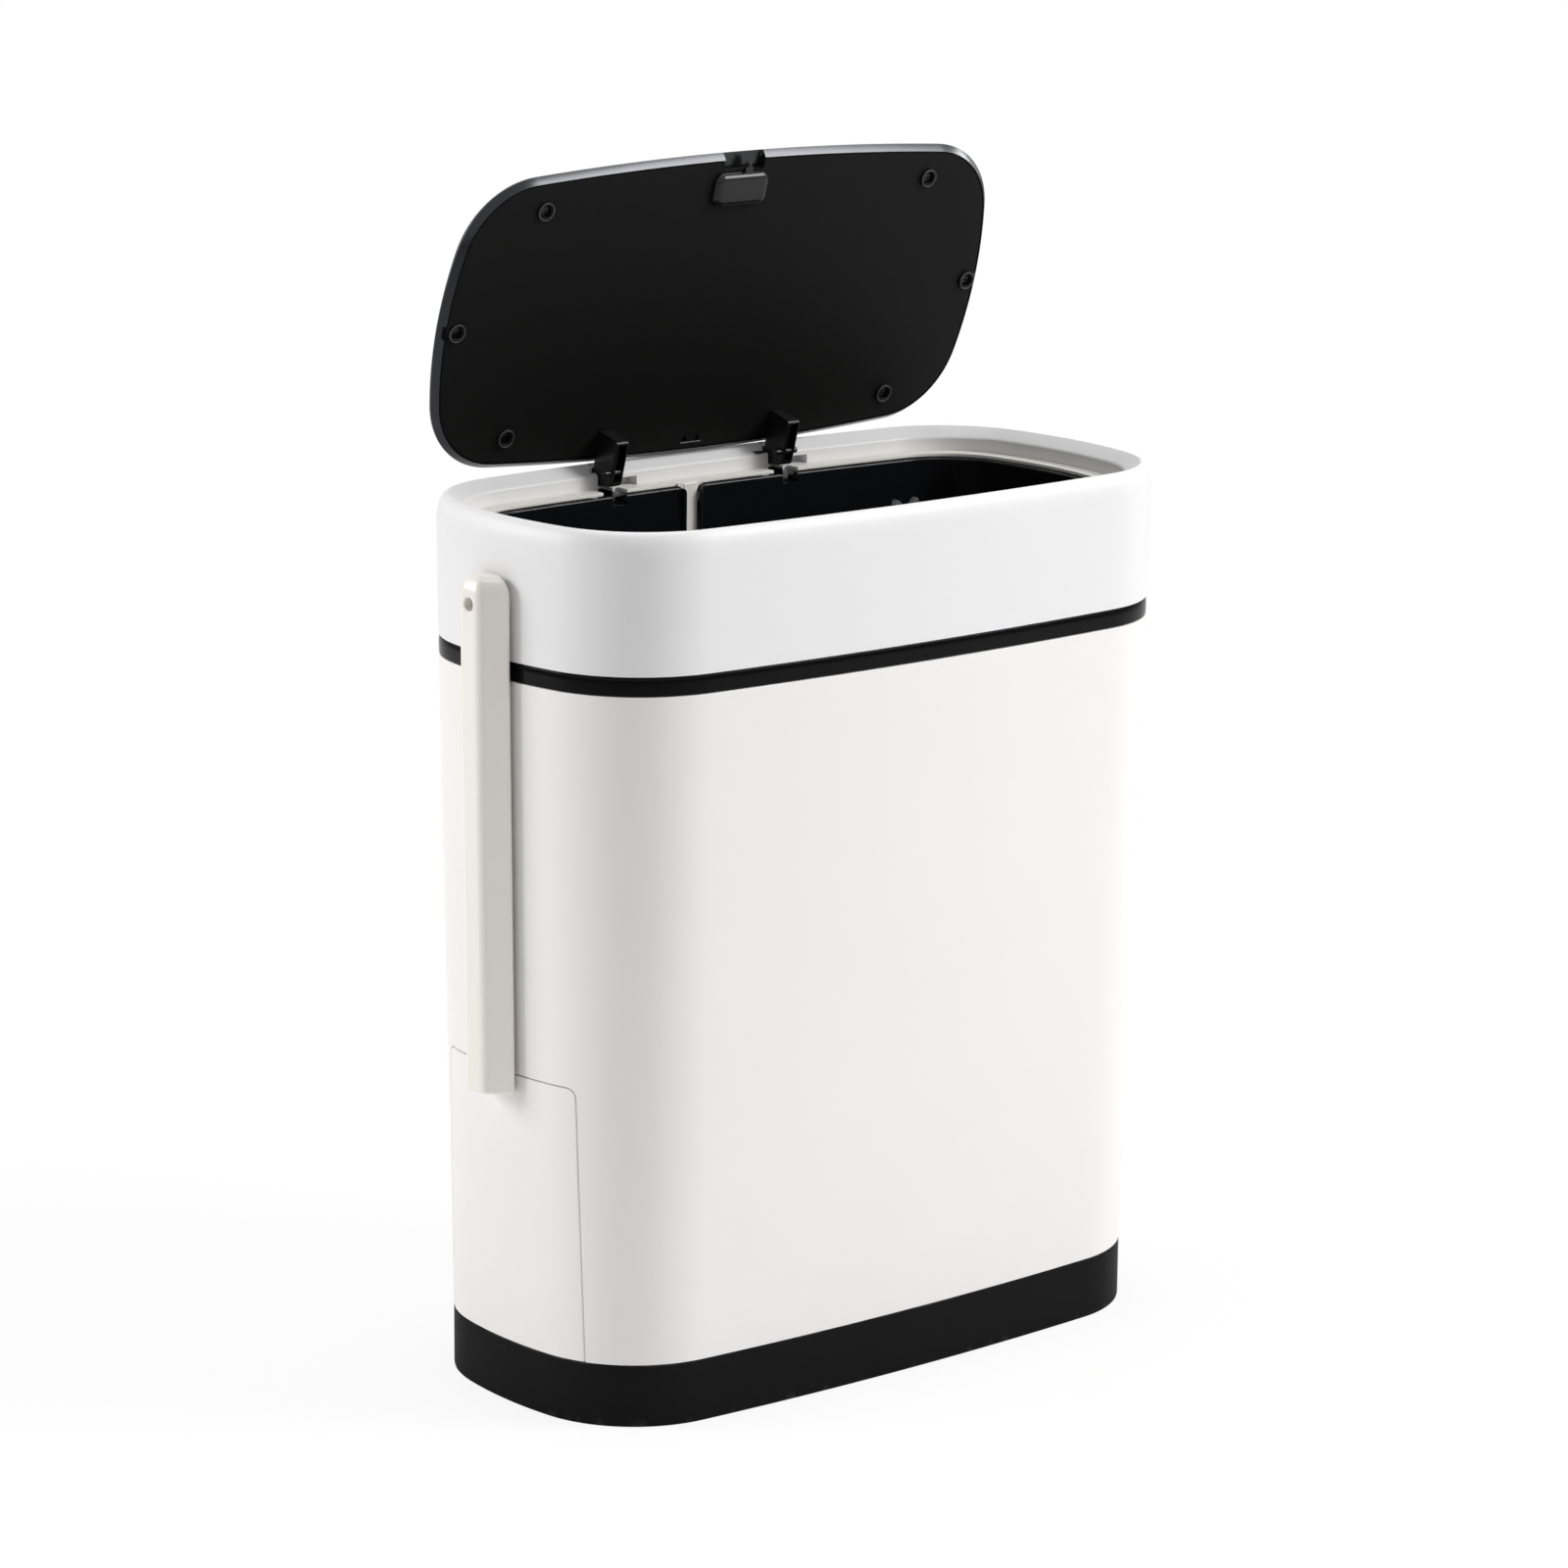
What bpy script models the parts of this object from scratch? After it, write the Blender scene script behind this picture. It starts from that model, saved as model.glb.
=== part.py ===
"""Bathroom bin with two inner bins, a lid on sprung hinges, a push latch and a toilet brush in an end bay.

Metres, Z up. X runs along the length with the brush at -X, the hinges are at +Y and the latch at -Y.
The lid stands open, as in the photograph.
"""
import math

import bmesh
import bpy
from mathutils import Matrix, Vector

# Body outline: the long sides and the ends are bowed, and the body widens from foot to rim
BODY_HEIGHT = 0.4000
BAND_HALF_LENGTH = 0.1708
BAND_HALF_DEPTH = 0.0864
FOOT_LENGTH_TAPER = 0.0037
FOOT_DEPTH_TAPER = 0.0056
RIM_DEPTH_FLARE = 0.0016
SIDE_BOW_RADIUS = 1.550
END_BOW_RADIUS = 0.203
CORNER_RADIUS = 0.0550
END_STEPS = 2
CORNER_STEPS = 8
SIDE_STEPS = 2

# Clearances and the overrun of the cuts
SEAT_GAP = 0.0003
SLIDE_GAP = 0.0005
RUNNING_GAP = 0.0006
OVERRUN = 0.0020

# Base, shell and band
BASE_HEIGHT = 0.0284
BASE_FLOOR = 0.0030
BASE_EDGE = 0.0012
UPSTAND_HEIGHT = 0.0080
UPSTAND_WALL = 0.0020
SHELL_WALL = 0.0025
BAND_HEIGHT = 0.0080
RING_HEIGHT = 0.0624
BAND_EDGE = 0.0004

# Upper ring
RING_OUTER_WALL = 0.0024
RING_INNER_WALL = 0.0022
RING_MOUTH_INSET = 0.0127
RIM_ROUND = 0.0050
RIM_FALL = 0.0038
RIM_STEP = 0.0007
RING_INNER_DEPTH = 0.0220
RING_TOP_THICKNESS = 0.0026
SPIGOT_DEPTH = 0.0113
SPIGOT_WALL = 0.0022
SPIGOT_RISE = 0.0050
LIP_WIDTH = 0.0025
LIP_THICKNESS = 0.0018

# Frame that the bins hang under, with a strap that dips between them
LEDGE_DROP = 0.0107
LEDGE_THICKNESS = 0.0016
LEDGE_WIDTH = 0.0080
STRAP_X = -0.0113
STRAP_WIDTH = 0.0082
STRAP_THICKNESS = 0.0022
STRAP_DROP = 0.0460
STRAP_CORNER = 0.0080

# Inner bins
BIN_WALL = 0.0016
BIN_RIM_GAP = 0.0004
BIN_BEAD = 0.0015
BIN_BEAD_HEIGHT = 0.0030
BIN_BEAD_EDGE = 0.0006
BIN_INSET = 0.0220
BIN_DRAFT_INSET = 0.0015
BIN_FACE_GAP = 0.0005
BIN_CORNER = 0.0070
BIN_FOOT_ROUND = 0.0060
BIN_NOTCH_DEPTH = 0.0420
BIN_NOTCH_HALF = 0.0480

# Bay for the brush at the -X end
BAY_TOP = 0.1535
BAY_HALF_TOP = 0.0460
BAY_HALF_FOOT = 0.0484
BAY_CORNER = 0.0045
WELL_WALL = 0.0020
WELL_SIDE_GAP = 0.0010
WELL_LENGTH = 0.1051
WELL_FLOOR_TOP = 0.0320
WELL_LEG = 0.0140
WELL_FRONT_LEG = 0.0421

# Lid: its outline is the rim's, set in, and it turns about the hinge axis
LID_INSET = 0.0138
LID_FACE_DROP = 0.0021
LID_SKIRT = 0.0012
LID_ROUND = 0.0042
LID_WALL = 0.0022
LID_ROOF = 0.0022
LID_OPEN_TURN = math.radians(74)
AXIS_BACK = 0.0030
AXIS_DROP = 0.0028
PLATE_EDGE = 0.0005

# Lid screws: four stand in from the ends and sides of the lid, and one from the middle of each end
CORNER_SCREW_END_INSET = 0.0465
CORNER_SCREW_SIDE_INSET = 0.0201
END_SCREW_INSET = 0.0090
SCREW_HEAD_RADIUS = 0.0024
SCREW_HEAD_HEIGHT = 0.0013
SCREW_SHANK_RADIUS = 0.0010
SCREW_BITE = 0.0009
SCREW_SLOT = 0.0007
SCREW_RING_WIDTH = 0.0011
SCREW_RING_RISE = 0.0005

# Hinges: an arm under the lid, a pin in the ring and a torsion spring round the pin
HINGE_HALF_SPACING = 0.0500
ARM_OFFSET = -0.0037
ARM_WIDTH = 0.0070
ARM_CHANNEL = 0.0044
ARM_REACH = 0.0140
ARM_LENGTH = 0.0180
ARM_FRONT_END = 0.0010
ARM_END_RADIUS = 0.0046
ARM_BACK_WALL = 0.0015
PIN_RADIUS = 0.0017
PIN_HOLD = 0.0030
POCKET_LEFT = 0.0042
POCKET_RIGHT = 0.0030
POCKET_FLOOR_GAP = 0.0008
BLOCK_WALL = 0.0040
GROOVE_MOUTH = 0.0029
COIL_WIRE = 0.0007
COIL_TURNS = 3
COIL_LEG = 0.0120

# Latch: a housing on the ring, two claws on a spring, and a striker under the lid
LATCH_HALF_WIDTH = 0.0130
LATCH_DEPTH = 0.0065
LATCH_WALL = 0.0012
LATCH_RISE = 0.0003
CLAW_BODY_HALF = 0.0090
CLAW_BODY_HEIGHT = 0.0120
CLAW_TRAVEL = 0.0050
CLAW_SPACING = 0.0113
CLAW_WIDTH = 0.0026
CLAW_HOOK = 0.0007
CLAW_ENTRY = 0.0021
CLAW_TIP = 0.0016
SPRING_PRESSED = 0.0045
SPRING_WIRE = 0.0005
SPRING_RADIUS = 0.0015
SPRING_TURNS = 5
STRIKER_HALF_WIDTH = 0.0173
STRIKER_LENGTH = 0.0140
STRIKER_HEIGHT = 0.0040
STRIKER_EDGE = 0.0014
TONGUE_HALF_WIDTH = 0.0030
TONGUE_DROP = 0.0022
RECESS_HALF_WIDTH = 0.0115
RECESS_LENGTH = 0.0084

# Brush handle
HANDLE_LAP = 0.0085
HANDLE_TOP_DROP = 0.0250
HANDLE_BACK_HALF = 0.0145
HANDLE_FRONT_HALF = 0.0085
HANDLE_DEPTH = 0.0122
HANDLE_STAND_OFF = 0.0021
HANDLE_ROUND = 0.0036
HANDLE_BACK_ROUND = 0.0012
HANDLE_TOP_ROUND = 0.0090
HANDLE_FOOT_ROUND = 0.0022
HANDLE_HOLE_RADIUS = 0.00285
HANDLE_HOLE_DROP = 0.0120
PAD_HALF = 0.0070
PAD_HEIGHT = 0.0200
PAD_DROP = 0.0030
FOOT_HALF = 0.0110
FOOT_HEIGHT = 0.0072

# Brush head
HEAD_AXIS_INSET = 0.0531
HEAD_RADIUS = 0.0120
HEAD_CORE_RADIUS = 0.0095
HEAD_TOP_DROP = 0.0315
HEAD_FLOOR_GAP = 0.0180
HEAD_SHOULDER = 0.0020
HEAD_DOME = 0.0080
SLEEVE_FLOOR = 0.0024
NECK_RADIUS = 0.0060
NECK_HEIGHT = 0.0130
COLLAR_WALL = 0.0025
RIB_HALF_WIDTH = 0.0040
RIB_HEIGHT = 0.0100
FLANGE_HALF_WIDTH = 0.0130
FLANGE_HEIGHT = 0.0300
FLANGE_THICKNESS = 0.0025
FLANGE_EDGE_GAP = 0.0012
BRISTLE_RADIUS = 0.0380
TUFT_COLUMNS = 18
TUFT_ROWS = 15
TUFT_MARGIN = 0.0013
TUFT_TIP_SHARE = 0.5
DOME_TUFT_SHARES = (0.85, 0.62)

# Screws that hold the handle, the cover panel and the bracket together
PANEL_SCREW_HALF_SPACING = 0.0075
PANEL_SCREW_RADIUS = 0.0012
PANEL_HEAD_RADIUS = 0.0022
PANEL_HEAD_HEIGHT = 0.0016
PANEL_SCREW_BITE = 0.0050

ROUND_STEPS = 16
SMALL_ROUND_STEPS = 12

# Sizes that follow from the ones above
FOOT_HALF_LENGTH = BAND_HALF_LENGTH - FOOT_LENGTH_TAPER
FOOT_HALF_DEPTH = BAND_HALF_DEPTH - FOOT_DEPTH_TAPER
RIM_HALF_DEPTH = BAND_HALF_DEPTH + RIM_DEPTH_FLARE
BAND_TOP = BODY_HEIGHT - RING_HEIGHT
LID_HALF_LENGTH = BAND_HALF_LENGTH - LID_INSET
LID_HALF_DEPTH = RIM_HALF_DEPTH - LID_INSET
WELL_INNER_X = WELL_LENGTH - FOOT_HALF_LENGTH
WELL_FRONT_LEG_X = WELL_FRONT_LEG - FOOT_HALF_LENGTH
HEAD_AXIS_X = HEAD_AXIS_INSET - FOOT_HALF_LENGTH
HEAD_TOP = BAY_TOP - HEAD_TOP_DROP
HEAD_BOTTOM = WELL_FLOOR_TOP + HEAD_FLOOR_GAP
HANDLE_BOTTOM = BAY_TOP - HANDLE_LAP
HANDLE_TOP = BODY_HEIGHT - HANDLE_TOP_DROP
LID_PIVOT = Vector((0, LID_HALF_DEPTH + AXIS_BACK, BODY_HEIGHT - LID_FACE_DROP - AXIS_DROP))


def clear_scene():
    """Remove every object of the scene."""
    for thing in list(bpy.data.objects):
        bpy.data.objects.remove(thing, do_unlink=True)


def collection(name, hidden=False):
    """A collection in the scene."""
    group = bpy.data.collections.new(name)
    bpy.context.scene.collection.children.link(group)
    group.hide_render = hidden
    return group


def material(name, colour, roughness, metallic=0.0):
    """A Principled material."""
    made = bpy.data.materials.new(name)
    made.use_nodes = True
    shader = made.node_tree.nodes["Principled BSDF"]
    shader.inputs["Base Color"].default_value = (*colour, 1.0)
    shader.inputs["Roughness"].default_value = roughness
    shader.inputs["Metallic"].default_value = metallic
    made.diffuse_color = (*colour, 1.0)
    return made


clear_scene()
PARTS = collection("bathroom_bin")
CUTTERS = collection("cutters", hidden=True)
WHITE = (0.83, 0.83, 0.81)
BLACK = (0.012, 0.012, 0.013)


def blend(a, b, share):
    """Value at a share of the way from a to b."""
    return a + (b - a) * share


def half_size_at(z):
    """Half length and half depth of the body's outline at height z."""
    low = BASE_HEIGHT
    if z <= BAND_TOP:
        share = max(0.0, (z - low) / (BAND_TOP - low))
        half_length = blend(FOOT_HALF_LENGTH, BAND_HALF_LENGTH, share)
        return half_length, blend(FOOT_HALF_DEPTH, BAND_HALF_DEPTH, share)
    share = (z - BAND_TOP) / (BODY_HEIGHT - BAND_TOP)
    return BAND_HALF_LENGTH, blend(BAND_HALF_DEPTH, RIM_HALF_DEPTH, share)


def arc(centre, radius, start, end, steps, last=False):
    """Points on an arc, with the last point only if asked for."""
    count = steps + 1 if last else steps
    turns = [start + (end - start) * i / steps for i in range(count)]
    return [(centre[0] + radius * math.cos(t), centre[1] + radius * math.sin(t)) for t in turns]


def outline_arcs(half_length, half_depth):
    """Centres of the side, end and corner arcs in the +X, +Y quarter, and the turns where they meet."""
    side = Vector((0, half_depth - SIDE_BOW_RADIUS))
    end = Vector((half_length - END_BOW_RADIUS, 0))
    span = end - side
    side_reach = SIDE_BOW_RADIUS - CORNER_RADIUS
    end_reach = END_BOW_RADIUS - CORNER_RADIUS
    along = (side_reach ** 2 - end_reach ** 2 + span.length_squared) / (2 * span.length)
    across = math.sqrt(side_reach ** 2 - along ** 2)
    way = span.normalized()
    corner = side + way * along + Vector((way.y, -way.x)) * across
    end_turn = math.atan2(corner.y - end.y, corner.x - end.x)
    side_turn = math.atan2(corner.y - side.y, corner.x - side.x)
    return side, end, corner, end_turn, side_turn


def mirrored_round(quarter):
    """Close a quarter outline, from (a, 0) to (0, b), over both axes."""
    second = [(-x, y) for x, y in reversed(quarter[:-1])]
    half = quarter + second
    return half + [(x, -y) for x, y in reversed(half[1:-1])]


def body_outline(z, inset=0.0):
    """Outline of the body at height z, set in by an inset, anticlockwise from the middle of the +X end."""
    side, end, corner, end_turn, side_turn = outline_arcs(*half_size_at(z))
    quarter = arc(end, END_BOW_RADIUS - inset, 0, end_turn, END_STEPS)
    quarter += arc(corner, CORNER_RADIUS - inset, end_turn, side_turn, CORNER_STEPS)
    quarter += arc(side, SIDE_BOW_RADIUS - inset, side_turn, math.pi / 2, SIDE_STEPS, last=True)
    return mirrored_round(quarter)


def raised(outline, z):
    """Give an outline its height."""
    return [(x, y, z) for x, y in outline]


def body_ring(inset, z):
    """Ring of points on the body's outline at height z."""
    return raised(body_outline(z, inset), z)


def add_object(name, mesh, look=None, origin=(0, 0, 0), parent=None, group=None):
    """Link a mesh as an object; without a look it is a cutter."""
    made = bpy.data.objects.new(name, mesh)
    made.location = (0, 0, 0) if parent else origin
    made.parent = parent
    if look is None:
        made.display_type = "WIRE"
        made.hide_render = True
        CUTTERS.objects.link(made)
        return made
    mesh.materials.append(look)
    PARTS.objects.link(made)
    return made


def finish_mesh(bm, name, origin=(0, 0, 0), smooth=None):
    """Turn a bmesh into a mesh about an origin; smooth is the greatest angle shaded smooth."""
    bmesh.ops.recalc_face_normals(bm, faces=bm.faces)
    bmesh.ops.translate(bm, verts=bm.verts, vec=-Vector(origin))
    mesh = bpy.data.meshes.new(name)
    bm.to_mesh(mesh)
    bm.free()
    if smooth is not None:
        shade_by_angle(mesh, smooth)
    return mesh


def shade_by_angle(mesh, limit):
    """Shade faces smooth and keep edges sharper than the limit."""
    bm = bmesh.new()
    bm.from_mesh(mesh)
    for face in bm.faces:
        face.smooth = True
    for edge in bm.edges:
        if len(edge.link_faces) == 2:
            edge.smooth = edge.calc_face_angle(0.0) < limit
    bm.to_mesh(mesh)
    bm.free()


SOFT = math.radians(32)


def skin(rings, closed=False, bm=None):
    """Faces between rings of points: closed joins the last ring to the first, else both ends are capped."""
    bm = bm or bmesh.new()
    loops = [[bm.verts.new(point) for point in ring] for ring in rings]
    count = len(loops[0])
    bands = []
    pairs = list(zip(loops, loops[1:]))
    if closed:
        pairs.append((loops[-1], loops[0]))
    for low, high in pairs:
        band = []
        for i in range(count):
            j = (i + 1) % count
            band.append(bm.faces.new((low[i], low[j], high[j], high[i])))
        bands.append(band)
    if not closed:
        bm.faces.new(list(reversed(loops[0])))
        bm.faces.new(loops[-1])
    return bm, bands


def loft(name, rings, look=None, closed=False, origin=(0, 0, 0), parent=None):
    """Object lofted through rings of points."""
    bm, _ = skin(rings, closed)
    return add_object(name, finish_mesh(bm, name, origin, SOFT), look, origin, parent)


def group_of(name, shapes, look=None, origin=(0, 0, 0), parent=None):
    """One object of several closed shapes, each given by its rings of points."""
    bm = bmesh.new()
    for rings in shapes:
        skin(rings, bm=bm)
    return add_object(name, finish_mesh(bm, name, origin, SOFT), look, origin, parent)


def turned(profile, centre, axis="z", steps=SMALL_ROUND_STEPS):
    """Rings of a turned shape from (radius, place along the axis) pairs; centre is across the axis."""
    rings = []
    for radius, along in profile:
        round_points = arc(centre, radius, 0, 2 * math.pi, steps)
        rings.append([(u, v, along) if axis == "z" else (along, u, v) for u, v in round_points])
    return rings


def block(name, low, high, look=None, origin=(0, 0, 0), parent=None, edge=0.0, edge_steps=2):
    """Box between two corners, with its edges rounded if asked for."""
    bm = bmesh.new()
    low = Vector(low)
    high = Vector(high)
    bmesh.ops.create_cube(bm, size=1.0)
    bmesh.ops.scale(bm, vec=high - low, verts=bm.verts)
    bmesh.ops.translate(bm, vec=(low + high) / 2, verts=bm.verts)
    if edge:
        bmesh.ops.bevel(bm, geom=bm.edges[:], offset=edge, segments=edge_steps, profile=0.5, affect="EDGES")
    return add_object(name, finish_mesh(bm, name, origin), look, origin, parent)


def rod(name, start, end, radius, look=None, origin=(0, 0, 0), parent=None):
    """Cylinder between two points."""
    bm = bmesh.new()
    start = Vector(start)
    end = Vector(end)
    way = end - start
    size = {"radius1": radius, "radius2": radius, "depth": way.length}
    bmesh.ops.create_cone(bm, cap_ends=True, segments=ROUND_STEPS, **size)
    turn = Vector((0, 0, 1)).rotation_difference(way).to_matrix().to_4x4()
    bmesh.ops.transform(bm, matrix=Matrix.Translation((start + end) / 2) @ turn, verts=bm.verts)
    return add_object(name, finish_mesh(bm, name, origin, SOFT), look, origin, parent)


def prism(name, outline, plane, centre, thickness, look=None, origin=(0, 0, 0), parent=None):
    """Flat outline, filled and given a thickness about its plane, as a mesh object.

    The outline lies in plane "yz" or "xz", and centre is the place of its middle along the other axis.
    """
    flat = bpy.data.curves.new(name + "_outline", "CURVE")
    flat.dimensions = "2D"
    flat.fill_mode = "BOTH"
    flat.extrude = thickness / 2
    spline = flat.splines.new("POLY")
    spline.points.add(len(outline) - 1)
    for point, (u, v) in zip(spline.points, outline):
        point.co = (u, v, 0, 1)
    spline.use_cyclic_u = True
    holder = bpy.data.objects.new(name + "_outline", flat)
    bpy.context.scene.collection.objects.link(holder)
    bpy.context.view_layer.update()
    evaluated = holder.evaluated_get(bpy.context.evaluated_depsgraph_get())
    mesh = bpy.data.meshes.new_from_object(evaluated)
    bpy.data.objects.remove(holder, do_unlink=True)
    bm = bmesh.new()
    bm.from_mesh(mesh)
    bpy.data.meshes.remove(mesh)
    bmesh.ops.remove_doubles(bm, verts=bm.verts, dist=SEAT_GAP / 100)
    if plane == "yz":
        turn = Matrix(((0, 0, 1, centre), (1, 0, 0, 0), (0, 1, 0, 0), (0, 0, 0, 1)))
    else:
        turn = Matrix(((1, 0, 0, 0), (0, 0, -1, centre), (0, 1, 0, 0), (0, 0, 0, 1)))
    bmesh.ops.transform(bm, matrix=turn, verts=bm.verts)
    return add_object(name, finish_mesh(bm, name, origin, SOFT), look, origin, parent)


def combine(target, tool, operation="DIFFERENCE"):
    """Boolean of a target with a tool object."""
    step = target.modifiers.new(tool.name, "BOOLEAN")
    step.operation = operation
    step.solver = "EXACT"
    step.object = tool


def coil(name, radius, wire, turns, length, axis, centre, look, origin=(0, 0, 0), parent=None, leg=0.0):
    """Round wire wound about an axis, x or z, with a straight leg towards -Y if asked for."""
    steps = SMALL_ROUND_STEPS
    path = []
    for i in range(turns * steps + 1):
        turn = 2 * math.pi * i / steps
        along = -length / 2 + length * i / (turns * steps)
        path.append((along, radius * math.sin(turn), -radius * math.cos(turn)))
    if leg:
        path.insert(0, (path[0][0], path[0][1] - leg, path[0][2]))
    line = bpy.data.curves.new(name + "_line", "CURVE")
    line.dimensions = "3D"
    line.bevel_depth = wire / 2
    line.bevel_resolution = 1
    line.use_fill_caps = True
    spline = line.splines.new("POLY")
    spline.points.add(len(path) - 1)
    for point, (along, u, v) in zip(spline.points, path):
        place = (along, u, v) if axis == "x" else (u, v, along)
        point.co = (*(Vector(place) + Vector(centre) - Vector(origin)), 1)
    made = bpy.data.objects.new(name, line)
    line.materials.append(look)
    made.location = (0, 0, 0) if parent else origin
    made.parent = parent
    PARTS.objects.link(made)
    return made


def axis_empty(name, place, turn=(0, 0, 0)):
    """Empty that carries moving pieces, on their joint's axis."""
    made = bpy.data.objects.new(name, None)
    made.empty_display_size = ARM_LENGTH
    made.location = place
    made.rotation_euler = turn
    PARTS.objects.link(made)
    return made


# Heights that several pieces share
SHELL_BOTTOM = BASE_HEIGHT + SEAT_GAP
BAND_BOTTOM = BAND_TOP - BAND_HEIGHT
SHELL_TOP = BAND_BOTTOM - SEAT_GAP
RING_BOTTOM = BAND_TOP + SEAT_GAP
LEDGE_TOP = BODY_HEIGHT - LEDGE_DROP
LEDGE_BOTTOM = LEDGE_TOP - LEDGE_THICKNESS
LIP_TOP = LEDGE_BOTTOM - SEAT_GAP
BIN_TOP = LEDGE_BOTTOM - BIN_RIM_GAP
LID_FACE = BODY_HEIGHT - LID_FACE_DROP
LID_ROOF_UNDERSIDE = LID_FACE + LID_SKIRT + LID_ROUND - LID_ROOF
LATCH_TOP = LEDGE_TOP + LATCH_RISE
LATCH_BOTTOM = LATCH_TOP - 2 * LATCH_WALL - CLAW_BODY_HEIGHT - CLAW_TRAVEL - SPRING_PRESSED
CLAW_TOP = LID_FACE + CLAW_ENTRY
LEDGE_OUTER_INSET = RING_MOUTH_INSET + SEAT_GAP
LEDGE_INNER_INSET = LEDGE_OUTER_INSET + LEDGE_WIDTH
PIN_BORE = PIN_RADIUS + SEAT_GAP
ARM_SWEEP = ARM_REACH - AXIS_DROP
POCKET_BOTTOM = LID_PIVOT.z - math.hypot(ARM_SWEEP, ARM_FRONT_END) - POCKET_FLOOR_GAP


def rim_depth(z, inset):
    """Distance of the body's outline from the middle plane at x 0, set in by an inset."""
    return half_size_at(z)[1] - inset


def end_bow(y):
    """How far the bowed end has fallen back at a distance y from the middle plane."""
    return END_BOW_RADIUS - math.sqrt(END_BOW_RADIUS ** 2 - y ** 2)


def make_base():
    """Black base: a tray whose upstand stands inside the shell."""
    inset = SHELL_WALL + SEAT_GAP
    top = BASE_HEIGHT + UPSTAND_HEIGHT
    rings = [
        body_ring(BASE_EDGE, 0),
        body_ring(0, BASE_EDGE),
        body_ring(0, BASE_HEIGHT - BASE_EDGE / 2),
        body_ring(BASE_EDGE / 2, BASE_HEIGHT),
        body_ring(inset, BASE_HEIGHT),
        body_ring(inset, top - BASE_EDGE / 2),
        body_ring(inset + BASE_EDGE / 2, top),
        body_ring(inset + UPSTAND_WALL, top),
        body_ring(inset + UPSTAND_WALL, BASE_FLOOR),
    ]
    loft("base_plinth", rings, material("base_black", BLACK, 0.35))


def bay_outline(gap=0.0):
    """Outline of the brush bay's opening in the YZ plane, made smaller by a gap."""
    low = SHELL_BOTTOM + gap
    high = BAY_TOP - gap
    foot = BAY_HALF_FOOT - gap
    head = BAY_HALF_TOP - gap
    corner = BAY_CORNER - gap
    right = [(foot, low)] + arc((head - corner, high - corner), corner, 0, math.pi / 2, 4, last=True)
    return right + [(-y, z) for y, z in reversed(right)]


def shell_tube(name, look=None, inset=0.0, wall=SHELL_WALL, origin=(0, 0, 0), parent=None):
    """Tube of the shell's wall."""
    rings = [
        body_ring(inset, SHELL_BOTTOM),
        body_ring(inset, SHELL_TOP),
        body_ring(inset + wall, SHELL_TOP),
        body_ring(inset + wall, SHELL_BOTTOM),
    ]
    return loft(name, rings, look, True, origin, parent)


def bay_prism(name, gap, foot_overrun, origin=(0, 0, 0), parent=None):
    """Prism along X through the -X end of the body, with the bay's outline."""
    outline = bay_outline(gap)
    if foot_overrun:
        outline[0] = (outline[0][0], outline[0][1] - foot_overrun)
        outline[-1] = (outline[-1][0], outline[-1][1] - foot_overrun)
    outer = BAND_HALF_LENGTH + OVERRUN
    inner = FOOT_HALF_LENGTH - CORNER_RADIUS
    return prism(name, outline, "yz", -(outer + inner) / 2, outer - inner, None, origin, parent)


def make_shell():
    """White shell with the opening of the brush bay."""
    shell = shell_tube("outer_shell", material("shell_white", WHITE, 0.3))
    combine(shell, bay_prism("bay_cut", 0, OVERRUN))


def make_band():
    """Glossy black band between the shell and the upper ring."""
    rings = [
        body_ring(BAND_EDGE, BAND_BOTTOM),
        body_ring(0, BAND_BOTTOM + BAND_EDGE),
        body_ring(0, BAND_TOP - BAND_EDGE),
        body_ring(BAND_EDGE, BAND_TOP),
        body_ring(SHELL_WALL, BAND_TOP),
        body_ring(SHELL_WALL, BAND_BOTTOM),
    ]
    loft("trim_band", rings, material("band_black", BLACK, 0.08), closed=True)


def make_well():
    """Liner of the brush bay: open towards -X, on four legs, with the small bin on its roof."""
    outer_half = BAY_HALF_FOOT + WELL_SIDE_GAP + WELL_WALL
    roof = BAY_TOP + WELL_SIDE_GAP + WELL_WALL
    foot = BASE_FLOOR + SEAT_GAP
    end = -BAND_HALF_LENGTH - OVERRUN
    low = (end, -outer_half, foot)
    high = (WELL_INNER_X, outer_half, roof)
    well = block("brush_well", low, high, material("well_black", BLACK, 0.45))
    inside = SHELL_WALL + UPSTAND_WALL + 2 * SEAT_GAP
    space = loft("well_space", [body_ring(inside, z) for z in (0, BASE_HEIGHT, BAND_BOTTOM)])
    combine(well, space, "INTERSECT")
    inner_half = outer_half - WELL_WALL
    hollow = block(
        "well_hollow",
        (end - OVERRUN, -inner_half, WELL_FLOOR_TOP),
        (WELL_INNER_X - WELL_WALL, inner_half, roof - WELL_WALL),
    )
    combine(well, hollow)
    under = WELL_FLOOR_TOP - WELL_WALL
    cellar = block(
        "well_cellar",
        (end - OVERRUN, -inner_half, foot - OVERRUN),
        (WELL_INNER_X - WELL_WALL, inner_half, under),
    )
    combine(well, cellar)
    arch_top = under - WELL_WALL
    leg_x = WELL_INNER_X - WELL_LEG
    low = (WELL_FRONT_LEG_X, -outer_half - OVERRUN, foot - OVERRUN)
    combine(well, block("well_side_arch", low, (leg_x, outer_half + OVERRUN, arch_top)))
    low = (leg_x - OVERRUN, WELL_LEG - outer_half, foot - OVERRUN)
    combine(well, block("well_end_arch", low, (WELL_INNER_X + OVERRUN, outer_half - WELL_LEG, arch_top)))


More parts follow.
